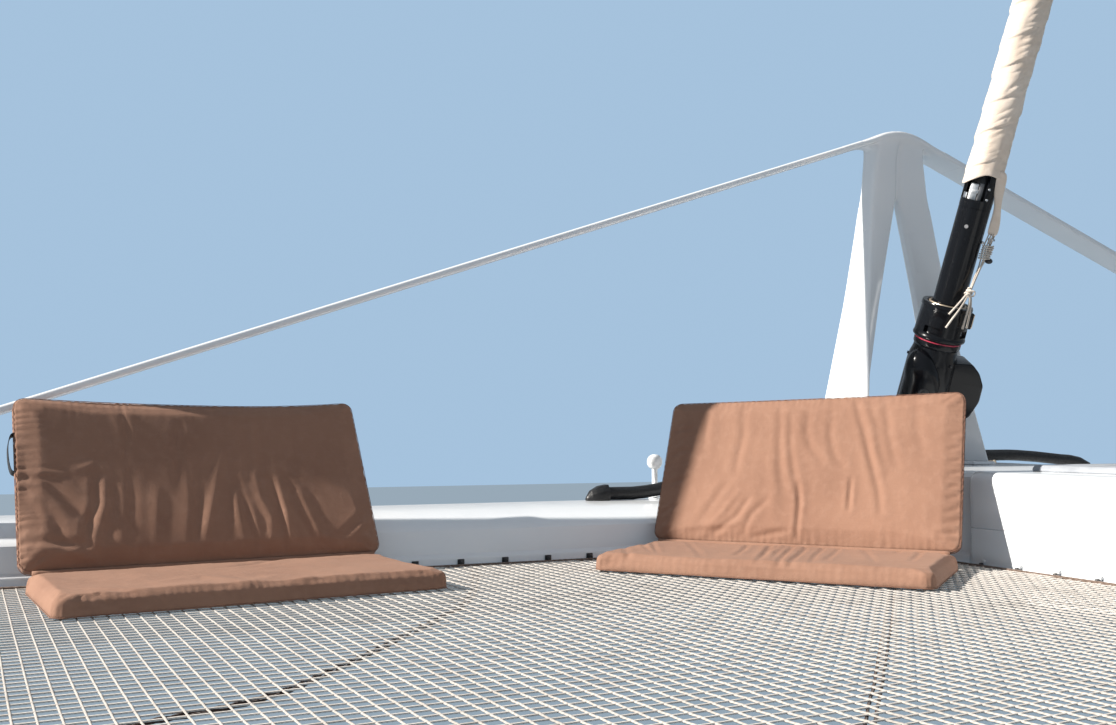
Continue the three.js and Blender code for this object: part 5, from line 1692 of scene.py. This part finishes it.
# A thin cord sewn in along each seam
def makeWelts(name, heights, halfX, halfY, place, body):
    bm = bmesh.new()
    corner = seat["corner"]
    for height in heights:
        path = []
        for sx, sy, start in ((1, 1, 0), (-1, 1, 90), (-1, -1, 180), (1, -1, 270)):
            for i in range(9):
                angle = rad(start + 90 * i / 8)
                path.append(Vector((sx * (halfX - corner) + corner * math.cos(angle),
                                    sy * (halfY - corner) + corner * math.sin(angle), height)))
        fine = []
        for a, b in zip(path, path[1:] + path[:1]):
            pieces = max(1, round((b - a).length / 0.012))
            fine += [a.lerp(b, i / pieces) for i in range(pieces)]
        for point in fine:
            point.z += 0.0010 * noise.noise(point * 40)
        shaped = reshaped(np.array([tuple(p) for p in fine]), halfX, halfY, cushions[name])
        fine = [Vector(p) for p in shaped]
        fine.append(fine[0].copy())
        wrapUv(bm, addTube(bm, fine, seat["welt"], 6))
    bm.transform(place)
    dress(toObject(bm, name + "_welts", finish["seatPiping"]), body, "seat_cloth")


def makeCushion(name, depth, place, body, seed, flatBelow):
    row, welt = cushions[name], seat["welt"]
    halfX, halfY = seat["width"] / 2 - welt, depth / 2 - welt
    thick = row["thick"]
    lowest = thick / 2 if flatBelow else seat["thickness"] / 2
    obj = cushionStart(name + "_cushion", 2 * halfX, 2 * halfY, thick, row["rims"])
    upper, lower = (thick / 2 - 0.7 * radius for radius in row["rims"])
    seams = [-lower] if flatBelow else [upper, -lower]
    co = positions(obj.data)
    inward = insideOutline(co[:, 0], co[:, 1], halfX, halfY, seat["corner"])
    sewn = np.zeros(len(co), bool)
    for level in seams:
        sewn |= (inward < 0.005) & (np.abs(co[:, 2] - level) < 0.0035)
    co = inflate(obj, sewn)
    obj.data.vertices.foreach_set("co", co.ravel())
    normals = np.empty(len(co) * 3, np.float32)
    obj.data.vertex_normals.foreach_get("vector", normals)
    co += normals.reshape(-1, 3) * clothHeight(name, co, inward, halfX, halfY, thick, seed)[:, None]
    co = reshaped(co, halfX, halfY, row)
    co[:, 2] += lowest
    if flatBelow:
        co[:, 2] = np.maximum(co[:, 2], 0.0)
    obj.data.vertices.foreach_set("co", co.ravel())
    layer = obj.data.uv_layers.new(name="cloth")
    corners = np.empty(len(obj.data.loops), np.int32)
    obj.data.loops.foreach_get("vertex_index", corners)
    flat = np.stack([co[:, 0], co[:, 1] + co[:, 2]], axis=1)[corners]
    layer.data.foreach_set("uv", flat.ravel())
    obj.data.materials.clear()
    obj.data.materials.append(finish["seatCloth"])
    obj.data.transform(place)
    markSmooth(obj.data)
    dress(obj, body, "seat_cloth", name)
    makeWelts(name, [lowest + level for level in seams], halfX, halfY, place, body)
    print(name, "cushion", len(obj.data.polygons), "faces")


# A loop of webbing on the left edge of a back
def makeStrapLoop(name, place, body):
    wide, thin = 0.012, 0.0009
    middle, out = seat["thickness"] / 2, -seat["width"] / 2 - cushions[name + "_back"]["sides"][0]
    line = finePath([(out + 0.006, 0.148, 0), (out - 0.007, 0.142, 0), (out - 0.014, 0.112, 0),
                     (out - 0.014, 0.070, 0), (out - 0.008, 0.036, 0), (out + 0.006, 0.028, 0)])
    rings = []
    for i, point in enumerate(line):
        ahead = (line[min(i + 1, len(line) - 1)] - line[max(i - 1, 0)]).normalized()
        side = Vector((-ahead.y, ahead.x, 0)) * thin
        foot, top = Vector((0, 0, middle - wide)), Vector((0, 0, middle + wide))
        rings.append([point + side + foot, point + side + top, point - side + top, point - side + foot])
    bm = bmesh.new()
    wrapUv(bm, loft(bm, rings))
    bm.transform(place)
    dress(toObject(bm, name + "_strap_loop", finish["blackPlastic"], 40), body, "seat_cloth")


# The hinge's cover is a soft roll of cloth in the notch between pad and back
def makeHingeCover(name, hinge):
    section = [(-0.0030, -0.0105), (-0.0030, -0.0040), (0.0, 0.0005), (0.0040, 0.0030), (0.0075, 0.0015),
               (0.0105, -0.0020), (0.0110, -0.0105)]
    half, count = 0.455, 60
    rings = []
    for i in range(count + 1):
        x = -half + 2 * half * i / count
        soft = 1 + 0.12 * noise.noise(Vector((x * 18, 2.0, 3.0)))
        rings.append([Vector((x, y, (z + 0.0105) * soft - 0.0105)) for y, z in section])
    bm = bmesh.new()
    wrapUv(bm, loft(bm, rings))
    bm.transform(hinge)
    dress(toObject(bm, name + "_hinge_cover", finish["seatCloth"]), "foredeck", "seat_cloth", name + "_hinge")


def makeSeat(name, seed):
    jointName, backBody, recline = seatRows[name]
    joint = joints[jointName]
    heading = math.atan2(joint["axis"][1], joint["axis"][0])
    hinge = Matrix.Translation(joint["pos_m"]) @ Matrix.Rotation(heading, 4, "Z")
    padTop = seat["thickness"] + seat["gap"] + seat["hingeRadius"]
    pad = hinge @ Matrix.Translation((0, seat["inset"] - seat["depth"] / 2, -padTop))
    back = (hinge @ Matrix.Rotation(rad(-90 - recline), 4, "X")
            @ Matrix.Translation((0, -seat["endGap"] - seat["back"] / 2, seat["faceGap"] + seat["thickness"]))
            @ Matrix.Rotation(math.pi, 4, "X"))
    makeCushion(name + "_pad", seat["depth"], pad, "foredeck", seed, True)
    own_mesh(bpy.data.objects[name + "_pad_cushion"])
    makeCushion(name + "_back", seat["back"], back, backBody, seed + 3, False)
    makeHingeCover(name, hinge)
    if name == "outer_seat":
        makeStrapLoop(name, back, backBody)


for seed, name in enumerate(seatRows):
    makeSeat(name, seed * 11.0)
print("seats made")

# What keeps its packed form gets merged corners, soft edges and its own finish

kept = [
    # node, slot, material, edge
    ("beam_end_plate_port", "steel", "steel", 0.002),
    ("beam_end_plate_starboard", "steel", "steel", 0.002),
    ("longeron_end_plate", "steel", "steel", 0.002),
    ("locker_lid", "deck_grip", "deckGrip", 0.003),
    ("forestay_base", "steel", "steel", 0.0015),
    ("forestay_lug_port", "steel", "steel", 0.0015),
    ("forestay_lug_starboard", "steel", "steel", 0.0015),
    ("forestay_toggle", "steel", "steel", 0.0015),
    ("forestay_wire", "steel", "steel", 0),
    ("forestay_eye", "steel", "steel", 0.003),
    ("halyard_swivel", "steel", "steel", 0.001),
    ("deck_hose", "black_rubber", "blackRubber", 0),
    ("hose_cover", "black_rubber", "blackRubber", 0.002),
    ("hose_flange", "black_rubber", "blackRubber", 0.002),
    ("hose_clip_port", "steel", "steel", 0.0008),
    ("hose_clip_middle", "steel", "steel", 0.0008),
    ("hose_clip_starboard", "steel", "steel", 0.0008),
    ("deck_light", "white_plastic", "whitePlastic", 0),
]
for node, slotName, materialName, edge in kept:
    finerCopy(node, slotName, finish[materialName], edge, 50)


def fixed(bm, name, material, slotName):
    return dress(toObject(bm, name, finish[material], 35), "foredeck", slotName)


# Bolt heads on the end plates and a stub rail by the hose
def makeTrim():
    bolts = bmesh.new()
    for side, node in ((-1, "beam_end_plate_port"), (1, "beam_end_plate_starboard")):
        low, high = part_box(node)
        face = low.x if side < 0 else high.x
        for u in (0.12, 0.5, 0.88):
            for v in (0.16, 0.84):
                spot = (face - side * 0.0005, low.y + (high.y - low.y) * u, low.z + (high.z - low.z) * v)
                stud(bolts, spot, (-side, 0, 0), 0.011, 0.0085)
    fixed(bolts, "plate_bolts", "steel", "steel")

    rail = bmesh.new()
    cordPiece(rail, [(0.40, 3.905, 0.2915), (0.50, 3.905, 0.2912), (0.60, 3.905, 0.2860)], 0.0055, 12)
    made = bmesh.ops.create_uvsphere(rail, u_segments=16, v_segments=10, radius=0.0085)["verts"]
    bmesh.ops.translate(rail, vec=(0.602, 3.905, 0.2865), verts=made)
    fixed(rail, "stub_rail", "warmAlloy", "steel")


makeTrim()
print("fittings finished")

# Floor and light

studio = {
    "floorZ": -1.10, "floorSize": 60.0, "floorColor": (0.17, 0.23, 0.29),
    "backdrop": (0.40, 0.57, 0.76), "backdropStrength": 0.95,
    "skyColor": (0.66, 0.76, 0.88), "skyStrength": 0.45,
    "sunStrength": 8.0, "sunColor": (1.0, 0.95, 0.88), "sunAngle": 1.6,
    "sunFrom": (-0.855, 0.157, 0.495),
}


def makeStudio():
    bm = bmesh.new()
    bmesh.ops.create_grid(bm, x_segments=1, y_segments=1, size=studio["floorSize"] / 2)
    bmesh.ops.translate(bm, vec=(0, 2, studio["floorZ"]), verts=bm.verts)
    floorPaint, tree, shader = newMaterial("paleFloor", studio["floorColor"], 0.9)
    toObject(bm, "pale_floor", floorPaint)
    world = bpy.data.worlds.new("softSky")
    world.use_nodes = True
    tree = world.node_tree
    soft = tree.nodes["Background"]
    soft.inputs["Color"].default_value = (*studio["skyColor"], 1)
    soft.inputs["Strength"].default_value = studio["skyStrength"]
    plain = addNode(tree, "ShaderNodeBackground",
                    {"Color": (*studio["backdrop"], 1), "Strength": studio["backdropStrength"]})
    path = addNode(tree, "ShaderNodeLightPath")
    either = addNode(tree, "ShaderNodeMixShader")
    tree.links.new(path.outputs["Is Camera Ray"], either.inputs["Fac"])
    tree.links.new(soft.outputs["Background"], either.inputs[1])
    tree.links.new(plain.outputs["Background"], either.inputs[2])
    tree.links.new(either.outputs["Shader"], tree.nodes["World Output"].inputs["Surface"])
    scene.world = world
    light = bpy.data.lights.new("keyLight", "SUN")
    light.energy = studio["sunStrength"]
    light.color = studio["sunColor"]
    light.angle = rad(studio["sunAngle"])
    lamp = bpy.data.objects.new("keyLight", light)
    lamp.rotation_euler = Vector(studio["sunFrom"]).to_track_quat("Z", "Y").to_euler()
    scene.collection.objects.link(lamp)
    scene.view_settings.view_transform = "Standard"


makeStudio()
print("studio made")
